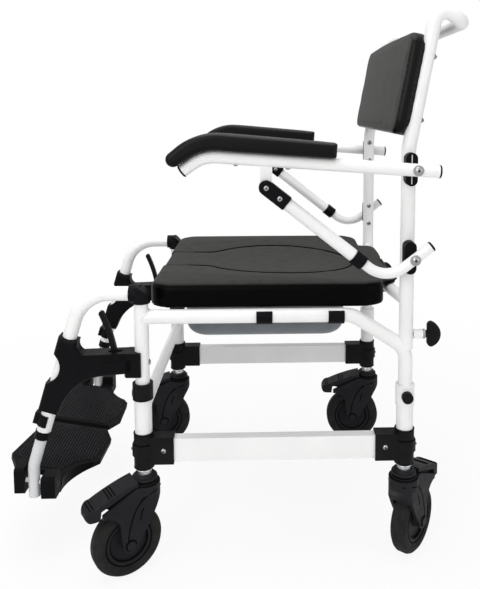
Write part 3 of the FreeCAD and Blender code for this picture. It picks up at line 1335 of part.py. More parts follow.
def make_apron(start, middle, end):
    """The wall under the curved outer edge of the plate, deep at the lug and shallow at the heel."""
    wall = n.apron_wall
    strip = outline(
        "XY", start, (middle, end), (end[0] - wall, end[1]),
        ((middle[0] - wall / 2, middle[1] - wall), (start[0], start[1] - wall)))
    curtain = strip.extrude(Z_AXIS * -n.heel_lug_depth)
    plate_low = -n.plate_drop - n.plate_thick
    apron_low = -n.heel_lug_depth
    behind_lug = start[1] - 2 * wall
    profile = outline(
        "YZ", (behind_lug, plate_low), (behind_lug, apron_low), (start[1], apron_low), (end[1], plate_low))
    return curtain.common(slab(profile, X_AXIS, 2 * n.plate_inner))


# Armrests, drawn for the left side

def at_arm(y, z):
    return Vector(n.arm_x, y, z)


rise = math.radians(n.arm_rise)
arm_fall = math.radians(n.arm_fall)
strut_fall = math.radians(n.strut_fall)
strut_rise = math.radians(n.strut_rise)
arm_pivot = at_arm(n.arm_pivot_y, n.arm_pivot_z)
arm_back = Vector(0, math.cos(rise), -math.sin(rise))
strut_down = Vector(0, math.cos(strut_fall), -math.sin(strut_fall))
strut_up = Vector(0, math.cos(strut_rise), math.sin(strut_rise))


def on_arm(y):
    """The point of the armrest's long run at a front-back place."""
    return arm_pivot + arm_back * ((y - n.arm_pivot_y) / math.cos(rise))


arm_bend_point = on_arm(n.arm_bend_y)
arm_nose_point = arm_bend_point + Vector(0, -math.cos(arm_fall), -math.sin(arm_fall)) * n.arm_nose
strut_pivot = on_arm(n.tab_y) - Z_AXIS * n.strut_pivot_drop
strut_foot = at_arm(n.strut_foot_y, n.strut_foot_z)


def make_armrests():
    make_arm_tube()
    make_arm_pad()
    make_strut()


def make_arm_tube():
    points = [arm_pivot + arm_back * n.arm_tail, arm_bend_point, arm_nose_point]
    path = bent_path(points, [n.arm_bend])
    tail = points[0] - arm_back * n.plug_depth
    nose = arm_nose_point + (arm_bend_point - arm_nose_point).normalize() * n.plug_depth
    hollow = sweep(bent_path([tail, arm_bend_point, nose], [n.arm_bend]), n.arm_dia - 2 * n.tube_wall)
    bar = sweep(path, n.arm_dia)
    half = n.tab_width / 2
    tab_face = outline(
        "YZ", (strut_pivot.y - half, strut_pivot.z),
        ((strut_pivot.y, strut_pivot.z - half), (strut_pivot.y + half, strut_pivot.z)),
        (strut_pivot.y + half, on_arm(n.tab_y).z), (strut_pivot.y - half, on_arm(n.tab_y).z))
    tab = slab(tab_face, X_AXIS, n.tab_thick, n.arm_x)
    bolt_room = Part.makeCylinder(
        n.arm_bolt_dia / 2 + n.slide_gap, n.arm_dia, arm_pivot - X_AXIS * (n.arm_dia / 2), X_AXIS)
    publish_pair(feature("arm_tube", bar.fuse(tab).cut([hollow, bolt_room]).removeSplitter()), "arm_tube")


def make_arm_pad():
    """A pad that follows the tube, thicker at the bend and wrapped down over the nose."""
    seat = n.arm_dia / 2 + n.seat_gap
    up_long = Vector(0, math.sin(rise), math.cos(rise))
    up_nose = Vector(0, -math.sin(arm_fall), math.cos(arm_fall))
    ahead = Vector(0, -math.cos(arm_fall), -math.sin(arm_fall))
    rear_low = on_arm(n.arm_pad_rear_y) + up_long * seat
    rear_top = rear_low + up_long * n.arm_pad_rear_thick
    bend_low = bisector(arm_bend_point, up_long, up_nose, seat)
    bend_top = bisector(arm_bend_point, up_long, up_nose, seat + n.arm_pad_front_thick)
    nose_low = arm_nose_point + up_nose * seat
    tip_thick = n.arm_pad_front_thick * 0.86
    nose_top = nose_low + up_nose * tip_thick
    tip = nose_low + up_nose * (tip_thick / 2) + ahead * n.arm_pad_over
    face = outline(
        "YZ", (rear_low.y, rear_low.z), (rear_top.y, rear_top.z), (bend_top.y, bend_top.z),
        (nose_top.y, nose_top.z), ((tip.y, tip.z), (nose_low.y, nose_low.z)), (bend_low.y, bend_low.z))
    pad = slab(face, X_AXIS, n.arm_pad_width, n.arm_x)
    bends = [bend_top, bend_low]
    for point, radius in zip(bends, (n.arm_bend + seat + n.arm_pad_front_thick, n.arm_bend + seat)):
        pad = rounded(pad, radius, lambda edge: near_line(edge, point))
    top_rim = [
        edge for edge in pad.Edges
        if edge.BoundBox.XLength < 1e-3 and not follows_tube(edge, rear_low, nose_low, bend_low)]
    pad = pad.makeFillet(n.arm_pad_edge, top_rim)
    publish_pair(feature("arm_pad", pad), "arm_pad")


def bisector(corner, first, second, offset):
    """Where two runs meet when both are moved out by the same offset."""
    half = first.getAngle(second) / 2
    return corner + (first + second).normalize() * (offset / math.cos(half))


def near_line(edge, point):
    """True for the crosswise edge that passes through a point of the profile."""
    middle = edge.BoundBox.Center
    return runs_along(edge, X_AXIS) and math.hypot(middle.y - point.y, middle.z - point.z) < 1e-3


def follows_tube(edge, rear_low, nose_low, bend_low):
    """True for an edge of the underside that lies on the tube."""
    middle = edge.valueAt((edge.FirstParameter + edge.LastParameter) / 2)
    ends = [vertex.Point for vertex in edge.Vertexes]
    reach = n.arm_pad_front_thick * 0.3
    for a, b in ((rear_low, bend_low), (bend_low, nose_low)):
        along = (b - a).normalize()
        gap = (middle - a) - along * (middle - a).dot(along)
        off_ends = [abs(((end - a) - along * (end - a).dot(along)).z) for end in ends]
        if math.hypot(gap.y, gap.z) < reach * 0.5 and max(off_ends) < reach:
            return True
    return False


def make_strut():
    """A telescopic strut: cap, tube and collar follow the armrest, the rod is bolted to the back post."""
    collar_mid = strut_pivot + strut_down * n.strut_length
    bore_dia = n.strut_rod_dia + 2 * n.slide_gap
    tube_reach = n.tab_width / 2 + n.cap_floor
    tube_start = strut_pivot + strut_down * tube_reach
    tube_length = n.strut_length - tube_reach
    tube = Part.makeCylinder(n.strut_dia / 2, tube_length, tube_start, strut_down)
    bore = Part.makeCylinder(bore_dia / 2, tube_length, tube_start + strut_down * n.plug_depth, strut_down)
    publish_pair(feature("strut_tube", tube.cut(bore)), "strut_tube")

    half = n.cap_width / 2
    face = outline("YZ", (0, -half), (n.cap_length, -half), (n.cap_length, half), (0, half))
    cap = slab(face, X_AXIS, n.cap_width).fuse(
        Part.makeCylinder(half, n.cap_width, Vector(-half, 0, 0), X_AXIS)).removeSplitter()
    cap = rounded(cap, 4, lambda edge: edge.BoundBox.XLength < 1e-3 and edge.BoundBox.YMin < n.cap_length - 1)
    slot_width = n.tab_thick + 2 * n.move_gap
    slot = Part.makeBox(
        slot_width, n.cap_width / 2 + n.tab_width / 2 + 4, 2 * n.cap_width,
        Vector(-slot_width / 2, -n.cap_width / 2, -n.cap_width))
    socket = Part.makeCylinder(
        n.strut_dia / 2 + n.seat_gap, n.cap_length, Vector(0, tube_reach - n.seat_gap, 0), Y_AXIS)
    cap = cap.cut([slot, socket])
    cap.Placement = Placement(strut_pivot, Rotation(X_AXIS, -n.strut_fall))
    collar = Part.makeCylinder(
        n.strut_collar_dia / 2, n.strut_collar_length,
        collar_mid - strut_down * (n.strut_collar_length / 2), strut_down)
    collar_room = Part.makeCylinder(n.strut_dia / 2 + n.seat_gap, n.strut_collar_length / 2 + n.seat_gap,
                                    collar_mid + strut_down * n.seat_gap, -strut_down)
    rod_room = Part.makeCylinder(bore_dia / 2, n.strut_collar_length, collar_mid, strut_down)
    collar = collar.cut([collar_room, rod_room])
    fittings = group("strut_fittings", feature("strut_cap", cap), feature("strut_collar", collar))
    publish_pair(fittings, "strut_fittings")

    rod_start = strut_pivot + strut_down * n.strut_rod_start
    gap = strut_foot - rod_start
    turn = strut_down.y * strut_up.z - strut_down.z * strut_up.y
    reach = (gap.y * strut_up.z - gap.z * strut_up.y) / turn
    corner = rod_start + strut_down * reach
    rod_end = strut_foot + strut_up * n.strut_tail
    bar = sweep(bent_path([rod_start, corner, rod_end], [n.strut_bend]), n.strut_rod_dia)
    hollow = sweep(bent_path([rod_start, corner, rod_end - strut_up * n.plug_depth], [n.strut_bend]),
                   n.strut_rod_dia - 2 * n.tube_wall)
    bolt_room = Part.makeCylinder(
        n.strut_bolt_dia / 2 + n.slide_gap, n.strut_rod_dia,
        strut_foot - X_AXIS * (n.strut_rod_dia / 2), X_AXIS)
    publish_pair(feature("strut_rod", bar.cut([hollow, bolt_room])), "strut_rod")


def check_and_export():
    """Stop on any failed object or bad shape, then write one STEP file for each node."""
    doc.recompute()
    for item in doc.Objects:
        if "Invalid" in item.State or "Error" in item.State:
            raise RuntimeError(f"{item.Label} failed: {item.State}")
    for node in nodes:
        if node.Shape.isNull() or not node.Shape.isValid() or not node.Shape.Solids:
            raise RuntimeError(f"{node.Label} has no valid solid")
    os.makedirs("parts", exist_ok=True)
    for node in nodes:
        node.Shape.exportStep(f"parts/{node.Label}.step")
    print(len(nodes), "nodes,", sum(len(node.Shape.Solids) for node in nodes), "solids")


make_base()
make_casters()
make_seat_frame()
make_seat()
make_back_cushion()
make_footrests()
make_armrests()
check_and_export()
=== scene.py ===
import json
import math
import bmesh
import bpy
from mathutils import Matrix, Vector
from mathutils.bvhtree import BVHTree


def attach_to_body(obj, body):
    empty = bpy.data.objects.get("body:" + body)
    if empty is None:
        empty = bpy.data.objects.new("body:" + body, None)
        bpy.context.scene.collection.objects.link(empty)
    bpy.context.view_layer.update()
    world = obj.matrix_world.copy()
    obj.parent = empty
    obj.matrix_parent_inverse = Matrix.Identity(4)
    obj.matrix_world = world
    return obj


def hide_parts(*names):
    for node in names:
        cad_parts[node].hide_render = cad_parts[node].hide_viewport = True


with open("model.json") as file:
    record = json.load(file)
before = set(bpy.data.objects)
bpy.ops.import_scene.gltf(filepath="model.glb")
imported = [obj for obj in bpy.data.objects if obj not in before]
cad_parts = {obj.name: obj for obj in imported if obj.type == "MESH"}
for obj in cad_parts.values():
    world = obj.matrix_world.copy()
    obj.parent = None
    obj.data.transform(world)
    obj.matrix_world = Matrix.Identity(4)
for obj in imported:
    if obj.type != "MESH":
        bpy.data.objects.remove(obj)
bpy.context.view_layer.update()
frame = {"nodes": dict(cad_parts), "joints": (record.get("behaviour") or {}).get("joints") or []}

SIDES = {"left": 1, "right": -1}
CASTERS = ("front_left", "front_right", "rear_left", "rear_right")
JOINTS = {joint["name"]: joint for joint in frame["joints"]}

X_AXIS = Vector((1, 0, 0))
Y_AXIS = Vector((0, 1, 0))
Z_AXIS = Vector((0, 0, 1))

# Places and directions that several parts of the chair share, in metres

LEG_X = 0.230
LEG_Y = 0.2325
TUBE_RADIUS = 0.0125
BACK_LEAN = math.radians(10.6)
BACK_OUT = Vector((0, math.cos(BACK_LEAN), -math.sin(BACK_LEAN)))
ARM_RISE = math.radians(4)
ARM_BACK = Vector((0, math.cos(ARM_RISE), -math.sin(ARM_RISE)))
ARM_UP = Vector((0, math.sin(ARM_RISE), math.cos(ARM_RISE)))

# Points closer than this are one point

JOIN_DISTANCE = 1e-6

SURFACES = {}


def surface_of(node):
    """The faces of a CAD node, ready for looking up places on them."""
    if node not in SURFACES:
        mesh = frame["nodes"][node].data
        SURFACES[node] = BVHTree.FromPolygons(
            [vertex.co for vertex in mesh.vertices], [polygon.vertices for polygon in mesh.polygons])
    return SURFACES[node]


def joint_place(name):
    """Where a joint of the frame is and which way it points."""
    joint = JOINTS[name]
    return Vector(joint.get("pos_m", (0, 0, 0))), Vector(joint["axis"]).normalized()


# Materials

class Finish:
    """A node material under construction, with a Principled shader and the piece's own coordinates."""

    def __init__(self, name):
        self.material = bpy.data.materials.new(name)
        self.material.use_nodes = True
        self.tree = self.material.node_tree
        self.shader = self.tree.nodes["Principled BSDF"]
        self.place = self.tree.nodes.new("ShaderNodeTexCoord").outputs["Object"]

    def node(self, kind, **settings):
        node = self.tree.nodes.new(kind)
        for key, value in settings.items():
            setattr(node, key, value)
        return node

    def link(self, source, target):
        self.tree.links.new(source, target)

    def set(self, **values):
        """Plain values on the shader's sockets, with spaces in the names written as underscores."""
        for key, value in values.items():
            self.shader.inputs[key.replace("_", " ")].default_value = value

    def noise(self, scale, detail, roughness=0.55, stretch=None):
        """Soft clouds with about scale of them to the metre."""
        node = self.node("ShaderNodeTexNoise")
        node.inputs["Scale"].default_value = scale
        node.inputs["Detail"].default_value = detail
        node.inputs["Roughness"].default_value = roughness
        self.link(self.stretched(stretch), node.inputs["Vector"])
        return node.outputs["Fac"]

    def cells(self, scale, feature="F1"):
        """Rounded grains with about scale of them to the metre."""
        node = self.node("ShaderNodeTexVoronoi", feature=feature)
        node.inputs["Scale"].default_value = scale
        self.link(self.place, node.inputs["Vector"])
        return node.outputs["Distance"]

    def stretched(self, stretch):
        """The piece's own coordinates, drawn out by a factor for each axis."""
        if stretch is None:
            return self.place
        mapping = self.node("ShaderNodeMapping")
        mapping.inputs["Scale"].default_value = stretch
        self.link(self.place, mapping.inputs["Vector"])
        return mapping.outputs["Vector"]

    def ramp(self, value, low, high, start=0.3, end=0.7):
        """A pattern spread over a range of numbers."""
        node = self.node("ShaderNodeMapRange")
        node.inputs["From Min"].default_value = start
        node.inputs["From Max"].default_value = end
        node.inputs["To Min"].default_value = low
        node.inputs["To Max"].default_value = high
        self.link(value, node.inputs["Value"])
        return node.outputs["Result"]

    def tint(self, value, dark, light, start=0.3, end=0.7):
        """A pattern spread over two colours, into the base colour."""
        node = self.node("ShaderNodeMix", data_type="RGBA")
        node.inputs["A"].default_value = (*dark, 1)
        node.inputs["B"].default_value = (*light, 1)
        self.link(self.ramp(value, 0, 1, start, end), node.inputs["Factor"])
        self.link(node.outputs["Result"], self.shader.inputs["Base Color"])

    def rough(self, value, low, high):
        """A pattern spread over a range of roughness."""
        self.link(self.ramp(value, low, high), self.shader.inputs["Roughness"])

    def add(self, first, second, share=0.5):
        """Two patterns mixed into one height."""
        node = self.node("ShaderNodeMix", data_type="FLOAT")
        node.inputs["Factor"].default_value = share
        self.link(first, node.inputs["A"])
        self.link(second, node.inputs["B"])
        return node.outputs["Result"]

    def bump(self, height, depth, strength):
        """Relief of about depth metres."""
        node = self.node("ShaderNodeBump")
        node.inputs["Strength"].default_value = strength
        node.inputs["Distance"].default_value = depth
        self.link(height, node.inputs["Height"])
        self.link(node.outputs["Normal"], self.shader.inputs["Normal"])


def white_powder_coat():
    """Tube paint: a clean white with a fine orange peel and faint differences of tone."""
    finish = Finish("white_powder_coat")
    finish.set(Coat_Weight=0.15, Coat_Roughness=0.25, Specular_IOR_Level=0.35)
    finish.tint(finish.noise(9, 4), (0.80, 0.80, 0.795), (0.86, 0.86, 0.855))
    finish.rough(finish.noise(35, 3), 0.3, 0.42)
    finish.bump(finish.noise(700, 2), 0.00012, 0.35)
    return finish.material


def moulded_plastic(name, dark, light, smooth, matt, shine=0.06):
    """Spark-textured injection moulding."""
    finish = Finish(name)
    finish.set(Specular_IOR_Level=shine)
    finish.tint(finish.noise(14, 5), dark, light)
    finish.rough(finish.noise(60, 4), smooth, matt)
    finish.bump(finish.add(finish.noise(1500, 2), finish.cells(1100)), 0.00012, 0.5)
    return finish.material


def foam_skin(name, shine):
    """Self-skinned black foam with a close pebble grain. It is near black on its sides. The faces turned
    along a given direction get painted light: they are lighter and rougher, with a random mottle.
    """
    finish = Finish(name)
    finish.set(Specular_IOR_Level=shine)
    panel = finish.node("ShaderNodeAttribute", attribute_name="panel").outputs["Fac"]
    mottle = finish.ramp(finish.noise(45, 6, 0.7), 0.76, 1.16)
    shade = finish.node("ShaderNodeMath", operation="MULTIPLY")
    finish.link(panel, shade.inputs[0])
    finish.link(mottle, shade.inputs[1])
    # Painted light: the lit faces get the lighter colour, and the sides stay near black.
    finish.tint(shade.outputs["Value"], (0.0008, 0.0008, 0.0008), (0.044, 0.044, 0.042), 0.0, 1.0)
    finish.link(finish.ramp(panel, 0.36, 0.66, 0.0, 1.0), finish.shader.inputs["Roughness"])
    grain = finish.add(finish.cells(520, "DISTANCE_TO_EDGE"), finish.noise(800, 3), 0.4)
    finish.bump(grain, 0.0004, 0.6)
    return finish.material


def tyre_rubber():
    """Worn grey-black tread rubber."""
    finish = Finish("tyre_rubber")
    finish.set(Specular_IOR_Level=0.08)
    finish.tint(finish.noise(40, 6, 0.65), (0.010, 0.010, 0.010), (0.024, 0.023, 0.022))
    finish.rough(finish.noise(90, 4), 0.6, 0.8)
    finish.bump(finish.noise(800, 4, 0.7), 0.0003, 0.5)
    return finish.material


def plated_metal(name, tone, smooth, matt, stretch):
    """Bare or plated metal with drawn scratches."""
    finish = Finish(name)
    finish.set(Metallic=1.0)
    low = tuple(value * 0.88 for value in tone)
    finish.tint(finish.noise(25, 5), low, tone)
    finish.rough(finish.noise(160, 4, 0.6, stretch), smooth, matt)
    finish.bump(finish.noise(600, 3, 0.6, stretch), 0.00008, 0.3)
    return finish.material


MATERIALS = {
    "white": white_powder_coat(),
    "black": moulded_plastic(
        "black_moulding", (0.0055, 0.0055, 0.006), (0.0095, 0.0095, 0.010), 0.4, 0.55),
    "housing": moulded_plastic(
        "dark_moulding", (0.0025, 0.0025, 0.0032), (0.0045, 0.0045, 0.0055), 0.4, 0.55),
    # The footplate and its tread studs are one plastic. The studs are painted lighter than the plate round
    # them: painted light on their tops against painted shade between them
    "plate": moulded_plastic(
        "footplate_moulding", (0.002, 0.002, 0.0025), (0.0035, 0.0035, 0.0042), 0.5, 0.65),
    "stud": moulded_plastic("tread_stud", (0.018, 0.018, 0.02), (0.027, 0.027, 0.03), 0.4, 0.5),
    "fork": moulded_plastic(
        "caster_moulding", (0.011, 0.011, 0.013), (0.019, 0.019, 0.021), 0.45, 0.6),
    # Dark grey hex prisms laid on screw heads and nuts: painted shade of their sockets
    "socket": moulded_plastic("screw_socket", (0.03, 0.03, 0.03), (0.05, 0.05, 0.05), 0.5, 0.6),
    # Near-black beads sunk into grooves, slots, seams, joint lines and wheel rims, and the latch patches:
    # painted shadow
    "groove": moulded_plastic(
        "groove_shadow", (0.0012, 0.0012, 0.0012), (0.002, 0.002, 0.002), 0.7, 0.85, 0.05),
    "foam": foam_skin("seat_foam", 0.035),
    "glossy_foam": foam_skin("arm_and_back_foam", 0.13),
    "pan": moulded_plastic(
        "pan_moulding", (0.14, 0.152, 0.165), (0.165, 0.177, 0.19), 0.35, 0.45, 0.3),
    "tyre": tyre_rubber(),
    "zinc": plated_metal("zinc_plate", (0.58, 0.59, 0.60), 0.28, 0.42, (1, 1, 12)),
    "bright": plated_metal("bright_screw", (0.34, 0.34, 0.34), 0.25, 0.4, None),
    # The foot tubes' satin grey, which is also the colour of the painted highlight strips on the brackets
    "aluminium": moulded_plastic(
        "satin_foot_tube_and_highlight", (0.58, 0.59, 0.60), (0.66, 0.67, 0.68), 0.3, 0.4, 0.4),
}

NODE_FINISH = {
    "white": ("leg_sleeves", "side_rails", "front_cross_bar", "front_posts", "seat_rails", "back_tube",
              "rear_cross_tube", "hanger_tube", "arm_tube", "strut_tube", "strut_rod"),
    "black": ("leg_tees", "sleeve_collars", "height_pin", "bucket_runners", "wing_knob", "release_lever"),
    "housing": ("arm_brackets", "latch_blocks", "seat_clips", "hanger_mouldings", "strut_fittings"),
    "plate": ("footplate",),
    "fork": ("caster_fork", "caster_hub", "caster_pedal"),
    "foam": ("seat_pad", "seat_insert"),
    "glossy_foam": ("back_cushion", "arm_pad"),
    "pan": ("bucket",),
    "tyre": ("caster_tyre",),
    "zinc": ("caster_stems",),
    "bright": ("base_screws", "frame_bolts"),
    "aluminium": ("foot_tube",),
}


def finish_of(node):
    """The finish whose list holds the longest name that a node starts with."""
    matches = [
        (len(name), key) for key, names in NODE_FINISH.items() for name in names if node.startswith(name)]
    return MATERIALS[max(matches)[1]]


def paint_nodes():
    """Give every CAD node its finish."""
    for name, piece in frame["nodes"].items():
        for slot in piece.material_slots:
            slot.material = finish_of(name)


# Mesh building

CREASE_ANGLE = math.radians(35)


def show(name, data):
    """An object in the scene for a mesh, camera or lamp."""
    shown = bpy.data.objects.new(name, data)
    bpy.context.scene.collection.objects.link(shown)
    return shown


def smooth_shade(mesh):
    for polygon in mesh.polygons:
        polygon.use_smooth = True


def piece_from(name, builder, material):
    """A finished object from a bmesh, with outward faces and its sharp edges kept crisp."""
    bmesh.ops.remove_doubles(builder, verts=builder.verts, dist=JOIN_DISTANCE)
    bmesh.ops.recalc_face_normals(builder, faces=builder.faces)
    mesh = bpy.data.meshes.new(name)
    builder.to_mesh(mesh)
    builder.free()
    smooth_shade(mesh)
    mesh.set_sharp_from_angle(angle=CREASE_ANGLE)
    mesh.materials.append(material)
    return show(name, mesh)


def seated(place, axis):
    """A matrix that takes the Z axis to axis and the origin to place."""
    return Matrix.Translation(place) @ Z_AXIS.rotation_difference(axis).to_matrix().to_4x4()


def turn_profile(builder, profile, place, axis, sides):
    """Add a profile of (radius, height) points turned about axis, with its ends closed."""
    matrix = seated(place, axis)
    rings = []
    for radius, height in profile:
        circle = []
        for step in range(sides):
            angle = 2 * math.pi * step / sides
            point = Vector((radius * math.cos(angle), radius * math.sin(angle), height))
            circle.append(builder.verts.new(matrix @ point))
        rings.append(circle)
    for low, high in zip(rings, rings[1:]):
        for step in range(sides):
            after = (step + 1) % sides
            builder.faces.new((low[step], low[after], high[after], high[step]))
    builder.faces.new(list(reversed(rings[0])))
    builder.faces.new(rings[-1])


def attach(piece, body):
    """Carry a piece on a body of the frame."""
    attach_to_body(piece, body)
    return piece


def fit(name, builder, finish, body):
    """A finished piece from a bmesh, carried on a body."""
    return attach(piece_from(name, builder, MATERIALS[finish]), body)


# Soft pieces

AIR_PRESSURE = 4.0
AIR_FRAMES = 20
DRAW_IN_SHARE = 0.6
OUTLINE_SHARE = 0.85
# Painted light on the foam: how far a face must turn along the given direction to start lightening, and to be
# lit in full
LIT_FACE_START = 0.72
LIT_FACE_FULL = 0.93

# Blocks for the grooves of the back posts, from the foot of the back cushion

CUSHION_FOOT = Vector((0, 0.22957, 0.77170))
GROOVE_BLOCK = (0.0265, 0.0062, 0.130)
GROOVE_BLOCK_OUT = -0.0033
GROOVE_BLOCK_UP = 0.089

# Swells: a direction, where along it the foam starts to move, where it moves in full, and by how much

SEAT_SWELLS = ((Y_AXIS, 0.172, 0.186, 0.005), (-Y_AXIS, 0.200, 0.212, 0.003))
CUSHION_END_SWELLS = ((X_AXIS, 0.200, 0.240, 0.002), (-X_AXIS, 0.200, 0.240, 0.002))
CUSHION_FRONT_SWELL = 0.005
CUSHION_BACK_SWELL = 0.003


def merged_copy(node, name, fillers):
    """A copy of a CAD node's mesh with its loose triangles joined, and blocks added to close its grooves."""
    mesh = frame["nodes"][node].data.copy()
    builder = bmesh.new()
    builder.from_mesh(mesh)
    bmesh.ops.remove_doubles(builder, verts=builder.verts, dist=JOIN_DISTANCE)
    for matrix in fillers:
        bmesh.ops.create_cube(builder, size=1.0, matrix=matrix)
    bmesh.ops.recalc_face_normals(builder, faces=builder.faces)
    builder.to_mesh(mesh)
    builder.free()
    return show(name, mesh)


def bake(piece):
    """Turn a piece and its modifiers into a plain mesh."""
    depsgraph = bpy.context.evaluated_depsgraph_get()
    mesh = bpy.data.meshes.new_from_object(piece.evaluated_get(depsgraph))
    piece.modifiers.clear()
    piece.data = mesh


def puff(piece, cap):
    """Let air into a closed skin, and keep each point within cap of where it was."""
    before = [vertex.co.copy() for vertex in piece.data.vertices]
    cloth = piece.modifiers.new("air", "CLOTH")
    cloth.settings.use_pressure = True
    cloth.settings.uniform_pressure_force = AIR_PRESSURE
    cloth.settings.effector_weights.gravity = 0
    cloth.settings.tension_stiffness = 40
    cloth.settings.bending_stiffness = 8
    cloth.collision_settings.use_collision = False
    scene = bpy.context.scene
    for step in range(1, AIR_FRAMES + 1):
        scene.frame_set(step)
    bake(piece)
    scene.frame_set(1)
    for vertex, start in zip(piece.data.vertices, before):
        move = vertex.co - start
        if move.length > cap:
            vertex.co = start + move.normalized() * cap


def soft_piece(node, body, panel_normal, voxel, cap, fillers=(), swells=()):
    """A foam pad in place of its CAD solid: skinned, filled with air, relaxed, smoothed and swelled."""
    piece = merged_copy(node, node + "_foam", fillers)
    remesh = piece.modifiers.new("skin", "REMESH")
    remesh.mode = "VOXEL"
    remesh.voxel_size = voxel
    bake(piece)
    shrink(piece, cap * DRAW_IN_SHARE)
    puff(piece, cap)
    relax = piece.modifiers.new("relax", "SMOOTH")
    relax.factor = 0.5
    relax.iterations = 2
    rounding = piece.modifiers.new("rounding", "SUBSURF")
    rounding.levels = 1
    rounding.render_levels = 1
    bake(piece)
    fill_out(piece.data, node)
    for direction, start, end, amount in swells:
        swell(piece.data, direction, start, end, amount)
    smooth_shade(piece.data)
    mark_panel(piece.data, panel_normal)
    piece.data.materials.clear()
    piece.data.materials.append(finish_of(node))
    attach(piece, body)
    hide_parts(node)
    return piece


def mark_panel(mesh, normal):
    """Mark how far each point faces along normal, as its share of the painted light on the foam."""
    panel = mesh.attributes.new("panel", "FLOAT", "POINT")
    for vertex, mark in zip(mesh.vertices, panel.data):
        facing = vertex.normal.dot(normal)
        mark.value = min(max((facing - LIT_FACE_START) / (LIT_FACE_FULL - LIT_FACE_START), 0.0), 1.0)


def fill_out(mesh, node):
    """Push what smoothing drew in back towards the outline of the CAD solid."""
    outline = surface_of(node)
    for vertex in mesh.vertices:
        spot, normal, _, _ = outline.find_nearest(vertex.co)
        if (vertex.co - spot).dot(normal) < 0:
            vertex.co = vertex.co.lerp(spot, OUTLINE_SHARE)


def swell(mesh, direction, start, end, amount):
    """Move a mesh on by amount past end along a direction, by less from there back to start."""
    for vertex in mesh.vertices:
        share = (vertex.co.dot(direction) - start) / (end - start)
        vertex.co = vertex.co + direction * (amount * min(max(share, 0.0), 1.0))


def shrink(piece, depth):
    """Draw a closed skin in along its normals."""
    normals = [vertex.normal.copy() for vertex in piece.data.vertices]
    for vertex, normal in zip(piece.data.vertices, normals):
        vertex.co = vertex.co - normal * depth


def cushion_fillers():
    """Blocks that close the grooves of the back posts in the cushion."""
    size = Matrix.Diagonal((*GROOVE_BLOCK, 1))
    turn = Matrix.Rotation(-BACK_LEAN, 4, "X")
    blocks = []
    for side in SIDES.values():
        middle = Matrix.Translation((side * LEG_X, GROOVE_BLOCK_OUT, GROOVE_BLOCK_UP))
        blocks.append(Matrix.Translation(CUSHION_FOOT) @ turn @ middle @ size)
    return blocks


def cushion_swells():
    """The foam of the back cushion stands a little prouder than its solid."""
    depths = [vertex.co.dot(-BACK_OUT) for vertex in frame["nodes"]["back_cushion"].data.vertices]
    back = min(depths)
    front = max(depths)
    return (
        (-BACK_OUT, back, front, CUSHION_FRONT_SWELL), (BACK_OUT, -front, -back, CUSHION_BACK_SWELL),
        *CUSHION_END_SWELLS)


def build_soft_pieces():
    """The foam of the seat, its insert, the back and the arms."""
    soft_piece("seat_pad", "seat_frame", Z_AXIS, voxel=0.005, cap=0.0022, swells=SEAT_SWELLS)
    soft_piece("seat_insert", "insert", Z_AXIS, voxel=0.004, cap=0.0018)
    soft_piece(
        "back_cushion", "seat_frame", -BACK_OUT, voxel=0.004, cap=0.003,
        fillers=cushion_fillers(), swells=cushion_swells())
    for side in SIDES:
        soft_piece("arm_pad_" + side, "armrest_" + side, ARM_UP, voxel=0.003, cap=0.0015)


def insert_rim(depth):
    """The outline of the seat insert, depth below its top, as a closed line of points."""
    builder = bmesh.new()
    builder.from_mesh(frame["nodes"]["seat_insert"].data)
    bmesh.ops.remove_doubles(builder, verts=builder.verts, dist=JOIN_DISTANCE)
    level = Vector((0, 0, max(vertex.co.z for vertex in builder.verts) - depth))
    cut = bmesh.ops.bisect_plane(
        builder, geom=builder.verts[:] + builder.edges[:] + builder.faces[:], plane_co=level, plane_no=Z_AXIS)
    edges = {item for item in cut["geom_cut"] if isinstance(item, bmesh.types.BMEdge)}
    here = next(iter(edges)).verts[0]
    line = []
    while True:
        line.append(here.co.copy())
        step = next((edge for edge in here.link_edges if edge in edges), None)
        if step is None:
            break
        edges.discard(step)
        here = step.other_vert(here)
    builder.free()
    return line


# Shapes that repeat or follow a line, made with geometry nodes

def shape_tree(name, sizes):
    """An empty geometry tree with a named input for each size, and a material input."""
    tree = bpy.data.node_groups.new(name, "GeometryNodeTree")
    tree.interface.new_socket("Geometry", in_out="INPUT", socket_type="NodeSocketGeometry")
    for label, default in sizes.items():
        kind = "NodeSocketInt" if isinstance(default, int) else "NodeSocketFloat"
        tree.interface.new_socket(label, in_out="INPUT", socket_type=kind).default_value = default
    tree.interface.new_socket("Material", in_out="INPUT", socket_type="NodeSocketMaterial")
    tree.interface.new_socket("Geometry", in_out="OUTPUT", socket_type="NodeSocketGeometry")
    return tree


def add_node(tree, kind, links=None, **values):
    """A node with sockets set or linked by name; a trailing _ marks a property of the node itself."""
    node = tree.nodes.new(kind)
    for key, value in values.items():
        if key.endswith("_"):
            setattr(node, key[:-1], value)
        else:
            node.inputs[key.replace("_", " ")].default_value = value
    for key, source in (links or {}).items():
        tree.links.new(source, node.inputs[key])
    return node


def close_tree(tree, geometry, given, smooth):
    """Realize what the tree made, shade it and give it its material."""
    real = add_node(tree, "GeometryNodeRealizeInstances", {"Geometry": geometry})
    shaded = add_node(tree, "GeometryNodeSetShadeSmooth", {"Geometry": real.outputs[0]}, Shade_Smooth=smooth)
    painted = add_node(tree, "GeometryNodeSetMaterial", {
        "Geometry": shaded.outputs[0], "Material": given.outputs["Material"]})
    tree.links.new(painted.outputs[0], tree.nodes.new("NodeGroupOutput").inputs[0])
    return tree


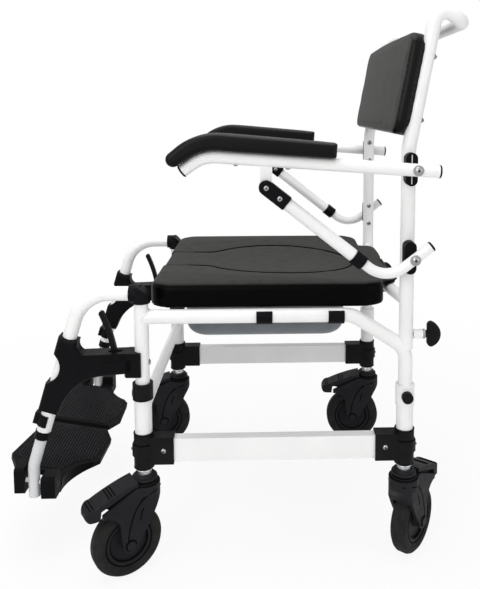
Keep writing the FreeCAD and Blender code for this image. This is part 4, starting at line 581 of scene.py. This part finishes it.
def on_points(tree, given, shape):
    """Stand a shape on each point, turned to the point's own facing."""
    facing = add_node(tree, "GeometryNodeInputNamedAttribute", data_type_="FLOAT_VECTOR", Name="facing")
    turn = add_node(
        tree, "FunctionNodeAlignRotationToVector", {"Vector": facing.outputs["Attribute"]}, axis_="Z")
    stood = add_node(tree, "GeometryNodeInstanceOnPoints", {
        "Points": given.outputs["Geometry"], "Instance": shape, "Rotation": turn.outputs["Rotation"]})
    return stood.outputs[0]


def button_head_tree():
    """Low domed heads on points."""
    tree = shape_tree("button_heads", {"Radius": 0.004, "Height": 0.002})
    given = tree.nodes.new("NodeGroupInput")
    ball = add_node(tree, "GeometryNodeMeshUVSphere", Segments=24, Rings=12, Radius=1.0)
    size = add_node(tree, "ShaderNodeCombineXYZ", {
        "X": given.outputs["Radius"], "Y": given.outputs["Radius"], "Z": given.outputs["Height"]})
    dome = add_node(
        tree, "GeometryNodeTransform", {"Geometry": ball.outputs["Mesh"], "Scale": size.outputs[0]})
    return close_tree(tree, on_points(tree, given, dome.outputs[0]), given, True)


def prism_tree():
    """Flat-topped prisms on points, such as washers, hex sockets and tread studs."""
    tree = shape_tree("prisms", {"Radius": 0.004, "Top Radius": 0.004, "Height": 0.001, "Sides": 6})
    given = tree.nodes.new("NodeGroupInput")
    prism = add_node(tree, "GeometryNodeMeshCone", {
        "Vertices": given.outputs["Sides"], "Radius Bottom": given.outputs["Radius"],
        "Radius Top": given.outputs["Top Radius"], "Depth": given.outputs["Height"]})
    square = add_node(tree, "GeometryNodeTransform", {"Geometry": prism.outputs["Mesh"]},
                      Rotation=(0, 0, math.radians(45)))
    return close_tree(tree, on_points(tree, given, square.outputs[0]), given, False)


def bead_tree():
    """Round beads along smooth lines, such as welds, seams and grooves."""
    tree = shape_tree("beads", {"Radius": 0.001, "Step": 0.002})
    given = tree.nodes.new("NodeGroupInput")
    line = add_node(tree, "GeometryNodeMeshToCurve", {"Mesh": given.outputs["Geometry"]})
    smooth = add_node(
        tree, "GeometryNodeCurveSplineType", {"Curve": line.outputs[0]}, spline_type_="CATMULL_ROM")
    even = add_node(
        tree, "GeometryNodeResampleCurve", {"Curve": smooth.outputs[0], "Length": given.outputs["Step"]},
        mode_="LENGTH")
    section = add_node(
        tree, "GeometryNodeCurvePrimitiveCircle", {"Radius": given.outputs["Radius"]}, Resolution=10)
    bead = add_node(
        tree, "GeometryNodeCurveToMesh", {"Curve": even.outputs[0], "Profile Curve": section.outputs[0]},
        Fill_Caps=True)
    return close_tree(tree, bead.outputs[0], given, True)


BUTTON_HEADS = button_head_tree()
PRISMS = prism_tree()
BEADS = bead_tree()


def grown(name, mesh, tree, finish, body, sizes):
    """A finished piece grown by a geometry tree from a mesh of points or lines."""
    piece = show(name, mesh)
    modifier = piece.modifiers.new("grow", "NODES")
    modifier.node_group = tree
    sockets = {item.name: item.identifier for item in tree.interface.items_tree if item.in_out == "INPUT"}
    modifier[sockets["Material"]] = MATERIALS[finish]
    for label, value in sizes.items():
        modifier[sockets[label]] = value
    bake(piece)
    return attach(piece, body)


def stamp(name, tree, places, finish, body, slot, **sizes):
    """One shape on each (place, facing)."""
    mesh = bpy.data.meshes.new(name)
    mesh.from_pydata([place for place, _ in places], [], [])
    facing = mesh.attributes.new("facing", "FLOAT_VECTOR", "POINT")
    for mark, (_, direction) in zip(facing.data, places):
        mark.vector = direction
    labelled = {key.replace("_", " "): value for key, value in sizes.items()}
    return grown(name, mesh, tree, finish, body, labelled)


def draw(name, lines, radius, finish, body, step=0.002):
    """Beads along lines of points; a line whose ends meet is closed."""
    points = []
    edges = []
    for line in lines:
        closed = (line[0] - line[-1]).length < JOIN_DISTANCE
        first = len(points)
        points += line[:-1] if closed else line
        edges += [(index, index + 1) for index in range(first, len(points) - 1)]
        if closed:
            edges.append((len(points) - 1, first))
    mesh = bpy.data.meshes.new(name)
    mesh.from_pydata(points, edges, [])
    return grown(name, mesh, BEADS, finish, body, {"Radius": radius, "Step": step})


def ring(centre, axis, radius, count=24):
    """A closed ring of points about an axis."""
    matrix = seated(centre, axis)
    turns = [2 * math.pi * step / count for step in range(count)] + [0.0]
    return [matrix @ Vector((radius * math.cos(turn), radius * math.sin(turn), 0)) for turn in turns]


def on_surface(node, start, direction, sink=0.0):
    """Where a straight look from start meets a CAD node, moved on by sink, or None past its edge."""
    hit = surface_of(node).ray_cast(start, direction)[0]
    return hit and hit + direction * sink


SIDE_LOOK = 0.1


def on_side(node, points, direction, sink):
    """A line of points laid on a CAD node, looking along direction."""
    hits = [on_surface(node, point - direction * SIDE_LOOK, direction, sink) for point in points]
    return [hit for hit in hits if hit]


# Casters, with places given along the trail, along the axle and up from the floor under the swivel

GROOVE_SINK = 0.0012
GROOVE_RADIUS = 0.0019
FORK_SIDE = 0.024
WHEEL_CENTRE = Vector((0.036, 0, 0.0625))
AXLE_RING = 0.0088
CHEEK_CURVE = (
    (-0.0240, 0.1500), (-0.0085, 0.1490), (0.0087, 0.1421), (0.0208, 0.1310), (0.0295, 0.1169),
    (0.0355, 0.1002), (0.0395, 0.0842), (0.0405, 0.0720))
CHEEK_SLOT = ((0.0125, 0.1230), (0.0160, 0.1150), (0.0180, 0.1029))
PEDAL_LINES = (0.060, 0.065, 0.070, 0.098, 0.103)
PEDAL_LINE_HALF = 0.017
PEDAL_LINE_SINK = 0.0005
PEDAL_LINE_RADIUS = 0.0013
PEDAL_LOOK_Z = 0.28
LINE_SHARES = (-1, -0.5, 0, 0.5, 1)

# Radius and height, or for a wheel's rim radius and distance from its middle

CROWN_RINGS = ((0.0241, 0.1593), (0.0191, 0.1623))
CROWN_COLLAR = (
    (0.0132, 0.1651), (0.0215, 0.1651), (0.0222, 0.1660), (0.0222, 0.1690), (0.0214, 0.1700),
    (0.0190, 0.1700), (0.0184, 0.1730), (0.0176, 0.1738), (0.0140, 0.1738), (0.0132, 0.1730))
STEM_RING = ((0.0123, 0.1800), (0.0134, 0.1802), (0.0139, 0.1815), (0.0134, 0.1828), (0.0123, 0.1830))
RIM_RINGS = ((0.0417, 0.0132), (0.0345, 0.0105))
RIM_GROOVE_RADIUS = 0.0012
RIM_STEP = 0.003


def caster_frame(corner):
    """The caster's own frame: x along its trail, y along its axle, z up from the floor under the swivel."""
    swivel = joint_place("caster_swivel_" + corner)[0]
    axle, across = joint_place("wheel_spin_" + corner)
    along = axle - swivel
    along.z = 0
    along.normalize()
    matrix = Matrix((along, across, Z_AXIS)).transposed().to_4x4()
    matrix.translation = Vector((swivel.x, swivel.y, 0))
    return matrix


def fork_marks(corner, at):
    """The collar of a fork's crown, and the grooves and slots of the fork."""
    turn = at.to_3x3()
    lines = []
    for side in (-1, 1):
        inward = turn @ Vector((0, -side, 0))
        for line in (CHEEK_CURVE, CHEEK_SLOT):
            points = [at @ Vector((x, 0, z)) for x, z in line]
            lines.append(on_side("caster_fork_" + corner, points, inward, GROOVE_SINK))
        cap = at @ (WHEEL_CENTRE + Vector((0, side * (FORK_SIDE - GROOVE_SINK / 2), 0)))
        lines.append(ring(cap, inward, AXLE_RING))
    for radius, height in CROWN_RINGS:
        lines.append(ring(at @ Vector((0, 0, height)), Z_AXIS, radius, 36))
    builder = bmesh.new()
    turn_profile(builder, CROWN_COLLAR, at.translation, Z_AXIS, 48)
    body = "caster_" + corner
    fit("crown_collar_" + corner, builder, "fork", body)
    draw("fork_grooves_" + corner, lines, GROOVE_RADIUS, "groove", body)


def pedal_marks(corner, at):
    """The lines across the top of a brake pedal."""
    lines = []
    for x in PEDAL_LINES:
        spots = [at @ Vector((x, PEDAL_LINE_HALF * share, PEDAL_LOOK_Z)) for share in LINE_SHARES]
        lines.append([
            on_surface("caster_pedal_" + corner, spot, -Z_AXIS, PEDAL_LINE_SINK) for spot in spots])
    draw("pedal_lines_" + corner, [line for line in lines if all(line)], PEDAL_LINE_RADIUS, "groove",
         "pedal_" + corner)


def rim_marks(corner, at):
    """The rings on both sides of a wheel."""
    axle = at.to_3x3() @ Y_AXIS
    rims = []
    for side in (-1, 1):
        for radius, out in RIM_RINGS:
            rims.append(ring(at @ (WHEEL_CENTRE + Vector((0, side * out, 0))), axle, radius, 40))
    draw("rim_grooves_" + corner, rims, RIM_GROOVE_RADIUS, "groove", "wheel_" + corner,
         RIM_STEP)


def build_caster_marks():
    """What is moulded into the casters, and the rings of their stems."""
    builder = bmesh.new()
    for corner in CASTERS:
        at = caster_frame(corner)
        fork_marks(corner, at)
        pedal_marks(corner, at)
        rim_marks(corner, at)
        turn_profile(builder, STEM_RING, at.translation, Z_AXIS, 32)
    fit("stem_rings", builder, "zinc", "base")


# Base

SCREW_X = 0.2435
SCREW_Y = 0.1965
RAIL_Z = 0.219
BAND_NUT_Y = 0.252
TEE_HEAD = 0.0022
TEE_RINGS = ((0.0175, 0.2072), (0.0175, 0.2308), (0.0174, 0.1868), (0.0174, 0.2492))
SLIT_X = LEG_X + 0.0129
SLIT_Y = -LEG_Y - 0.0125
SLIT_HEIGHTS = (0.313, 0.325, 0.338)
TEE_LINE_RADIUS = 0.0007


def build_base_fittings():
    """Sockets of the tee screws, slits of the collars and joint lines of the tees."""
    sockets = []
    lines = []
    for side in SIDES.values():
        for end in (-1, 1):
            sockets.append((Vector((side * (SCREW_X + TEE_HEAD), end * SCREW_Y, RAIL_Z)), X_AXIS * side))
            sockets.append((Vector((side * LEG_X, end * (BAND_NUT_Y + TEE_HEAD), RAIL_Z)), Y_AXIS * end))
            leg = Vector((side * LEG_X, end * LEG_Y, 0))
            for radius, height in TEE_RINGS:
                lines.append(ring(leg + Z_AXIS * height, Z_AXIS, radius, 36))
        lines.append([Vector((side * SLIT_X, SLIT_Y, height)) for height in SLIT_HEIGHTS])
    stamp("tee_sockets", PRISMS, sockets, "socket", "base", "bright_screws", Radius=0.0022,
          Top_Radius=0.0022, Height=0.0006)
    draw("tee_lines", lines, TEE_LINE_RADIUS, "groove", "base")


# Seat frame

ARM_BOLTS = (Vector((0.2814, 0.239, 0.717)), Vector((0.2794, 0.237, 0.565)))
BOLT_HEAD = 0.0036
NUT_HEAD = 0.0026
BRACKET_HEIGHTS = (0.717, 0.565)
BRACKET_SPREAD = 0.0211
# Where the painted highlight strip runs on the upper bracket, and how thick it is
HIGHLIGHT_STRIP_X = 0.2578
HIGHLIGHT_STRIP_HALF = 0.0248
HIGHLIGHT_STRIP_RADIUS = 0.0012
LEAN_START = 0.752
CUSHION_SCREWS = (0.802, 0.910)
# Centre and size of the painted shade patch where each latch block is recessed
LATCH_RECESS = Vector((0.2480, -0.2530, 0.3755))
LATCH_RECESS_SIZE = Vector((0.0005, 0.0075, 0.0215))
PANEL_BEVEL_SHARE = 0.4
KNOB_Z = 0.422
BOSS_Y = 0.2663
BOSS_COLLAR = ((0.0079, -0.0045), (0.0086, -0.0040), (0.0086, -0.0006), (0.0080, 0))
WELD_POINTS = 40
WELD_RIPPLES = 12
WELD_RIPPLE = 0.0002
WELD_REACH = 0.0127
WELD_RADIUS = 0.0019
WELD_STEP = 0.0012
SEAT_RAIL_Z = 0.458
CROSS_TUBE_Z = 0.483
CROSS_TUBE_RADIUS = 0.011


def mirrored(vector, side):
    """A left-hand place or direction on the given side."""
    return Vector((vector.x * side, vector.y, vector.z))


def build_frame_fittings():
    """Bolts, sockets, painted highlight strips on the brackets, welds, painted shade patches on the latch
    blocks and knob collars of the seat frame.
    """
    sockets = []
    washers = []
    highlight_strips = []
    welds = []
    recess_shades = bmesh.new()
    collars = bmesh.new()
    for side in SIDES.values():
        outward = X_AXIS * side
        for spot in ARM_BOLTS:
            washers.append((mirrored(spot, side), outward))
            sockets.append((mirrored(spot + X_AXIS * BOLT_HEAD, side), outward))
        for height in BRACKET_HEIGHTS:
            for step in (-1, 1):
                nut = Vector((LEG_X - TUBE_RADIUS - NUT_HEAD, LEG_Y, height + step * BRACKET_SPREAD))
                sockets.append((mirrored(nut, side), -outward))
        for height in CUSHION_SCREWS:
            post = Vector((side * LEG_X, LEG_Y + (height - LEAN_START) * math.tan(BACK_LEAN), height))
            sockets.append((post + BACK_OUT * (TUBE_RADIUS + NUT_HEAD), BACK_OUT))
        # A painted highlight: a thin light grey strip down the middle of the upper bracket's outer face.
        highlight_strips.append([
            Vector((side * HIGHLIGHT_STRIP_X, LEG_Y, BRACKET_HEIGHTS[0] + share * HIGHLIGHT_STRIP_HALF)) for share in LINE_SHARES])
        welds += tube_welds(side)
        add_panel(recess_shades, mirrored(LATCH_RECESS, side), LATCH_RECESS_SIZE)
        turn_profile(collars, BOSS_COLLAR, Vector((side * LEG_X, BOSS_Y, KNOB_Z)), Y_AXIS, 28)
    body = "seat_frame"
    stamp("frame_washers", PRISMS, washers, "bright", body, "bright_screws", Radius=0.0092,
          Top_Radius=0.0088, Height=0.0010, Sides=32)
    stamp("frame_sockets", PRISMS, sockets, "socket", body, "bright_screws", Radius=0.0026,
          Top_Radius=0.0026, Height=0.0006)
    draw("bracket_highlight_strips", highlight_strips, HIGHLIGHT_STRIP_RADIUS, "aluminium", body)
    draw("frame_welds", welds, WELD_RADIUS, "white", body, WELD_STEP)
    # Thin near-black plates on the latch blocks: painted shade where they are recessed.
    fit("latch_recess_shades", recess_shades, "groove", body)
    fit("boss_collars", collars, "bright", body)


def tube_welds(side):
    """Rippled welds where a seat rail meets the front post and the cross tube meets the back post."""
    rail = []
    cross = []
    for step in range(WELD_POINTS + 1):
        turn = 2 * math.pi * (step % WELD_POINTS) / WELD_POINTS
        ripple = WELD_RIPPLE * math.sin(WELD_RIPPLES * turn)
        aside = TUBE_RADIUS * math.cos(turn)
        reach = math.sqrt(WELD_REACH ** 2 - aside ** 2) + ripple
        height = SEAT_RAIL_Z + TUBE_RADIUS * math.sin(turn)
        rail.append(Vector((side * LEG_X + aside, -LEG_Y + reach, height)))
        aside = CROSS_TUBE_RADIUS * math.cos(turn)
        reach = math.sqrt(WELD_REACH ** 2 - aside ** 2) + ripple
        height = CROSS_TUBE_Z + CROSS_TUBE_RADIUS * math.sin(turn)
        cross.append(Vector((side * (LEG_X - reach), LEG_Y + aside, height)))
    return [rail, cross]


def add_panel(builder, centre, size):
    """A thin plate with rounded edges, such as the painted shade patch on a latch block."""
    made = bmesh.ops.create_cube(builder, size=1.0)
    bmesh.ops.scale(builder, vec=size, verts=made["verts"])
    bmesh.ops.translate(builder, vec=centre, verts=made["verts"])
    edges = list({edge for vertex in made["verts"] for edge in vertex.link_edges})
    bmesh.ops.bevel(builder, geom=edges, offset=min(size) * PANEL_BEVEL_SHARE, segments=2, affect="EDGES")


# Seat

SEAM_CENTRE = Vector((0, -0.03, 0))
SEAM_FRONT = -0.207
SEAM_DEPTH = 0.014
SEAM_INSET_SHARE = 0.015
SEAM_SINK = 0.0006
SEAM_RADIUS = 0.0014
SEAT_LOOK_Z = 0.6


def build_insert_seam():
    """The dark seam in the top of the seat round the lift-out insert, open at the front edge."""
    rim = insert_rim(SEAM_DEPTH)[:-1]
    first = min(range(len(rim)), key=lambda index: (rim[index].y > SEAM_FRONT, abs(rim[index].x)))
    seam = []
    for point in rim[first:] + rim[:first]:
        inside = point + (SEAM_CENTRE - point) * SEAM_INSET_SHARE
        top = on_surface("seat_insert", Vector((inside.x, inside.y, SEAT_LOOK_Z)), -Z_AXIS)
        if point.y > SEAM_FRONT and top:
            seam.append(Vector((point.x, point.y, top.z - SEAM_SINK)))
    draw("insert_seam", [seam], SEAM_RADIUS, "groove", "seat_frame")


# Armrests

ARM_RADIUS = 0.011
ARM_TAIL = 0.038
ARM_NOSE = 0.043
ARM_BEND_Y = -0.118
ARM_FALL = math.radians(35.5)
ARM_AHEAD = Vector((0, -math.cos(ARM_FALL), -math.sin(ARM_FALL)))
ARM_SCREWS = (-0.0638, 0.0228)
TAB_Y = -0.014
STRUT_DROP = 0.0457
STRUT_FALL = math.radians(38.4)
STRUT_DOWN = Vector((0, math.cos(STRUT_FALL), -math.sin(STRUT_FALL)))
CAP_HALF = 0.0125
CAP_SCREWS = (0.0, 0.0285)
CAP_HEAD = 0.0021
ROD_RADIUS = 0.009
ROD_TAIL = 0.036
ROD_RISE = math.radians(38)
ROD_UP = Vector((0, math.cos(ROD_RISE), math.sin(ROD_RISE)))


def on_arm(y, pivot):
    """The point of an armrest's long run at a front-back place."""
    return pivot + ARM_BACK * ((y - pivot.y) / ARM_BACK.y)


def add_plug(builder, end, outward, radius):
    """A domed plug that closes the end of a tube."""
    profile = (
        (radius * 0.9, -0.001), (radius + 0.0003, -0.001), (radius + 0.0003, 0.0012), (radius * 0.93, 0.0022),
        (radius * 0.6, 0.0030), (radius * 0.2, 0.0033))
    turn_profile(builder, profile, end, outward, 32)


def build_arm_fittings(side):
    """Plugs and screws of an armrest, its strut's cap and its strut's rod."""
    pivot = joint_place("arm_flip_" + side)[0]
    body = "armrest_" + side
    plugs = bmesh.new()
    add_plug(plugs, pivot + ARM_BACK * ARM_TAIL, ARM_BACK, ARM_RADIUS)
    add_plug(plugs, on_arm(ARM_BEND_Y, pivot) + ARM_AHEAD * ARM_NOSE, ARM_AHEAD, ARM_RADIUS)
    fit("arm_plugs_" + side, plugs, "black", body)
    under = [(on_arm(y, pivot) - ARM_UP * ARM_RADIUS, -ARM_UP) for y in ARM_SCREWS]
    stamp("arm_screws_" + side, BUTTON_HEADS, under, "bright", body, "bright_screws", Radius=0.0042,
          Height=0.0026)

    hinge = on_arm(TAB_Y, pivot) - Z_AXIS * STRUT_DROP
    body = "strut_tube_" + side
    heads = []
    sockets = []
    for along in CAP_SCREWS:
        for face in (-1, 1):
            spot = hinge + STRUT_DOWN * along + X_AXIS * (face * CAP_HALF)
            heads.append((spot, X_AXIS * face))
            sockets.append((spot + X_AXIS * (face * CAP_HEAD), X_AXIS * face))
    stamp("cap_screws_" + side, BUTTON_HEADS, heads, "bright", body, "bright_screws", Radius=0.0046,
          Height=0.0022)
    stamp("cap_sockets_" + side, PRISMS, sockets, "socket", body, "bright_screws", Radius=0.0018,
          Top_Radius=0.0018, Height=0.0006)

    foot = joint_place("strut_swing_" + side)[0]
    plugs = bmesh.new()
    add_plug(plugs, foot + ROD_UP * ROD_TAIL, ROD_UP, ROD_RADIUS)
    fit("rod_plug_" + side, plugs, "black", "strut_rod_" + side)


# Footrests

HOUSING_SEAMS = (
    ((-0.2645, 0.3970), (-0.2650, 0.3800), (-0.2645, 0.3580)),
    ((-0.3000, 0.3835), (-0.2830, 0.3845), (-0.2655, 0.3865)),
)
HOUSING_SEAM_SINK = 0.0005
HOUSING_SEAM_RADIUS = 0.0008
PLATE_TILT = math.radians(10)
PLATE_NORMAL = Vector((0, math.sin(PLATE_TILT), math.cos(PLATE_TILT)))
PLATE_ALONG = Vector((0, math.cos(PLATE_TILT), -math.sin(PLATE_TILT)))
PLATE_LOOK = 0.05
PLATE_DROP = 0.002
PLATE_SLACK = 0.0015
STUD_COLUMNS = 33
STUD_ROWS = 30
STUD_PITCH = 0.0052
STUD_MARGIN = 0.008
STUD_FIRST_COLUMN = 0.052
STUD_FIRST_ROW = -0.060
STUD_LIFT = 0.0003


def build_hanger_marks(side_name, side):
    """Joint lines of the housing."""
    lines = []
    for seam in HOUSING_SEAMS:
        points = [Vector((side * LEG_X, y, z)) for y, z in seam]
        lines.append(on_side("hanger_mouldings_" + side_name, points, X_AXIS * -side, HOUSING_SEAM_SINK))
    draw("hanger_lines_" + side_name, [line for line in lines if len(line) > 1], HOUSING_SEAM_RADIUS,
         "groove", "hanger_" + side_name)


def build_tread(side_name, side):
    """Rows of small square studs on the flat of a footplate."""
    hinge = joint_place("plate_flip_" + side_name)[0]
    node = "footplate_" + side_name
    places = []
    for column in range(STUD_COLUMNS):
        aside = X_AXIS * (side * (STUD_FIRST_COLUMN + column * STUD_PITCH))
        for row in range(STUD_ROWS):
            spot = hinge - aside + PLATE_ALONG * (STUD_FIRST_ROW + row * STUD_PITCH)
            if clear_round(node, spot):
                hit = on_surface(node, spot + PLATE_NORMAL * PLATE_LOOK, -PLATE_NORMAL)
                places.append((hit + PLATE_NORMAL * STUD_LIFT, PLATE_NORMAL))
    # The studs take the lighter copy of the footplate's plastic: painted light on their tops.
    stamp("tread_studs_" + side_name, PRISMS, places, "stud", node, "black_plastic", Radius=0.0023,
          Top_Radius=0.0016, Height=0.0016, Sides=4)


def clear_round(node, spot):
    """True where the flat of the plate, just below its hinge, reaches a margin round a spot."""
    for aside, along in ((1, 1), (1, -1), (-1, 1), (-1, -1)):
        corner = spot + X_AXIS * (aside * STUD_MARGIN) + PLATE_ALONG * (along * STUD_MARGIN)
        hit = on_surface(node, corner + PLATE_NORMAL * PLATE_LOOK, -PLATE_NORMAL)
        if hit is None or abs((hit - spot).dot(PLATE_NORMAL) + PLATE_DROP) > PLATE_SLACK:
            return False
    return True


def build_fittings():
    """Everything small that the CAD nodes don't have."""
    build_caster_marks()
    build_base_fittings()
    build_frame_fittings()
    build_insert_seam()
    for side_name, side in SIDES.items():
        build_arm_fittings(side_name)
        build_hanger_marks(side_name, side)
        build_tread(side_name, side)


# Stage

CAMERA_PLACE = Vector((1.3923, -0.012, 0.8214))
CAMERA_YAW = math.radians(1.99)
CAMERA_PITCH = math.radians(5.35)
PHOTO_WIDTH = 480
PHOTO_HEIGHT = 589
FOCAL_PIXELS = 678
CENTRE_X = 290.8
CENTRE_Y = 171.1
ROOM_LIGHT = 0.42
LAMPS = {
    "overhead": ((0.3, -0.3, 2.8), (0, 0, 0.4), 2.2, 46),
    "window": ((2.6, -1.2, 1.6), (0, 0, 0.5), 1.8, 30),
    "fill": ((1.8, 2.0, 1.0), (0, 0, 0.5), 1.6, 10),
}
FLOOR_SIZE = 30.0
FLOOR_NEAR = 0.9
FLOOR_FADE_START = 0.7
FLOOR_FADE_END = 1.5


def build_camera():
    """The camera that was fitted to the photo."""
    data = bpy.data.cameras.new("camera")
    data.sensor_width = 36
    data.lens = data.sensor_width * FOCAL_PIXELS / PHOTO_HEIGHT
    data.shift_x = (PHOTO_WIDTH / 2 - CENTRE_X) / PHOTO_HEIGHT
    data.shift_y = (CENTRE_Y - PHOTO_HEIGHT / 2) / PHOTO_HEIGHT
    data.clip_start = 0.01
    camera = show("camera", data)
    aim = Vector((
        -math.cos(CAMERA_YAW) * math.cos(CAMERA_PITCH), math.sin(CAMERA_YAW) * math.cos(CAMERA_PITCH),
        -math.sin(CAMERA_PITCH)))
    camera.location = CAMERA_PLACE
    camera.rotation_euler = aim.to_track_quat("-Z", "Y").to_euler()
    bpy.context.scene.camera = camera


def area_light(name, place, target, size, watts):
    """A round lamp at place, turned to target."""
    data = bpy.data.lights.new(name, "AREA")
    data.shape = "DISK"
    data.size = size
    data.energy = watts
    light = show(name, data)
    light.location = place
    light.rotation_euler = (Vector(target) - Vector(place)).to_track_quat("-Z", "Y").to_euler()


def white_to_viewers(tree, white, lit):
    """Mix white into lit for what the camera, mirrors and glass see."""
    rays = tree.nodes.new("ShaderNodeLightPath")
    seen = rays.outputs["Is Camera Ray"]
    for name in ("Is Glossy Ray", "Is Transmission Ray"):
        both = tree.nodes.new("ShaderNodeMath")
        both.operation = "MAXIMUM"
        tree.links.new(seen, both.inputs[0])
        tree.links.new(rays.outputs[name], both.inputs[1])
        seen = both.outputs["Value"]
    mix = tree.nodes.new("ShaderNodeMixShader")
    tree.links.new(seen, mix.inputs["Fac"])
    tree.links.new(lit, mix.inputs[1])
    tree.links.new(white, mix.inputs[2])
    return mix.outputs["Shader"]


def build_world():
    """Plain white to look at, with a softer light on the object."""
    world = bpy.data.worlds.new("studio")
    bpy.context.scene.world = world
    world.use_nodes = True
    tree = world.node_tree
    lit = tree.nodes["Background"]
    white = tree.nodes.new("ShaderNodeBackground")
    for background, strength in ((lit, ROOM_LIGHT), (white, 1.0)):
        background.inputs["Color"].default_value = (1, 1, 1, 1)
        background.inputs["Strength"].default_value = strength
    shown = white_to_viewers(tree, white.outputs["Background"], lit.outputs["Background"])
    tree.links.new(shown, tree.nodes["World Output"].inputs["Surface"])


def build_floor():
    """A pale floor that keeps the shadow near the object and goes over into plain white away from it."""
    builder = bmesh.new()
    bmesh.ops.create_grid(builder, x_segments=8, y_segments=8, size=FLOOR_SIZE)
    finish = Finish("pale_floor")
    finish.set(Roughness=0.9, Specular_IOR_Level=0.0)
    finish.tint(finish.noise(2, 2), (0.90, 0.90, 0.90), (0.93, 0.93, 0.93))
    tree = finish.tree
    white = finish.node("ShaderNodeEmission")
    distance = finish.node("ShaderNodeVectorMath", operation="LENGTH")
    finish.link(finish.place, distance.inputs[0])
    share = finish.ramp(distance.outputs["Value"], FLOOR_NEAR, 1.0, FLOOR_FADE_START, FLOOR_FADE_END)
    faded = finish.node("ShaderNodeMixShader")
    finish.link(share, faded.inputs["Fac"])
    finish.link(finish.shader.outputs["BSDF"], faded.inputs[1])
    finish.link(white.outputs["Emission"], faded.inputs[2])
    shown = white_to_viewers(tree, faded.outputs["Shader"], finish.shader.outputs["BSDF"])
    finish.link(shown, tree.nodes["Material Output"].inputs["Surface"])
    piece_from("floor", builder, finish.material)


def build_stage():
    """What the object is seen with: camera, surroundings, floor and lamps."""
    build_camera()
    build_world()
    build_floor()
    for name, (place, target, size, watts) in LAMPS.items():
        area_light(name, place, target, size, watts)


bpy.context.scene.view_settings.view_transform = "Standard"
paint_nodes()
build_soft_pieces()
build_fittings()
build_stage()
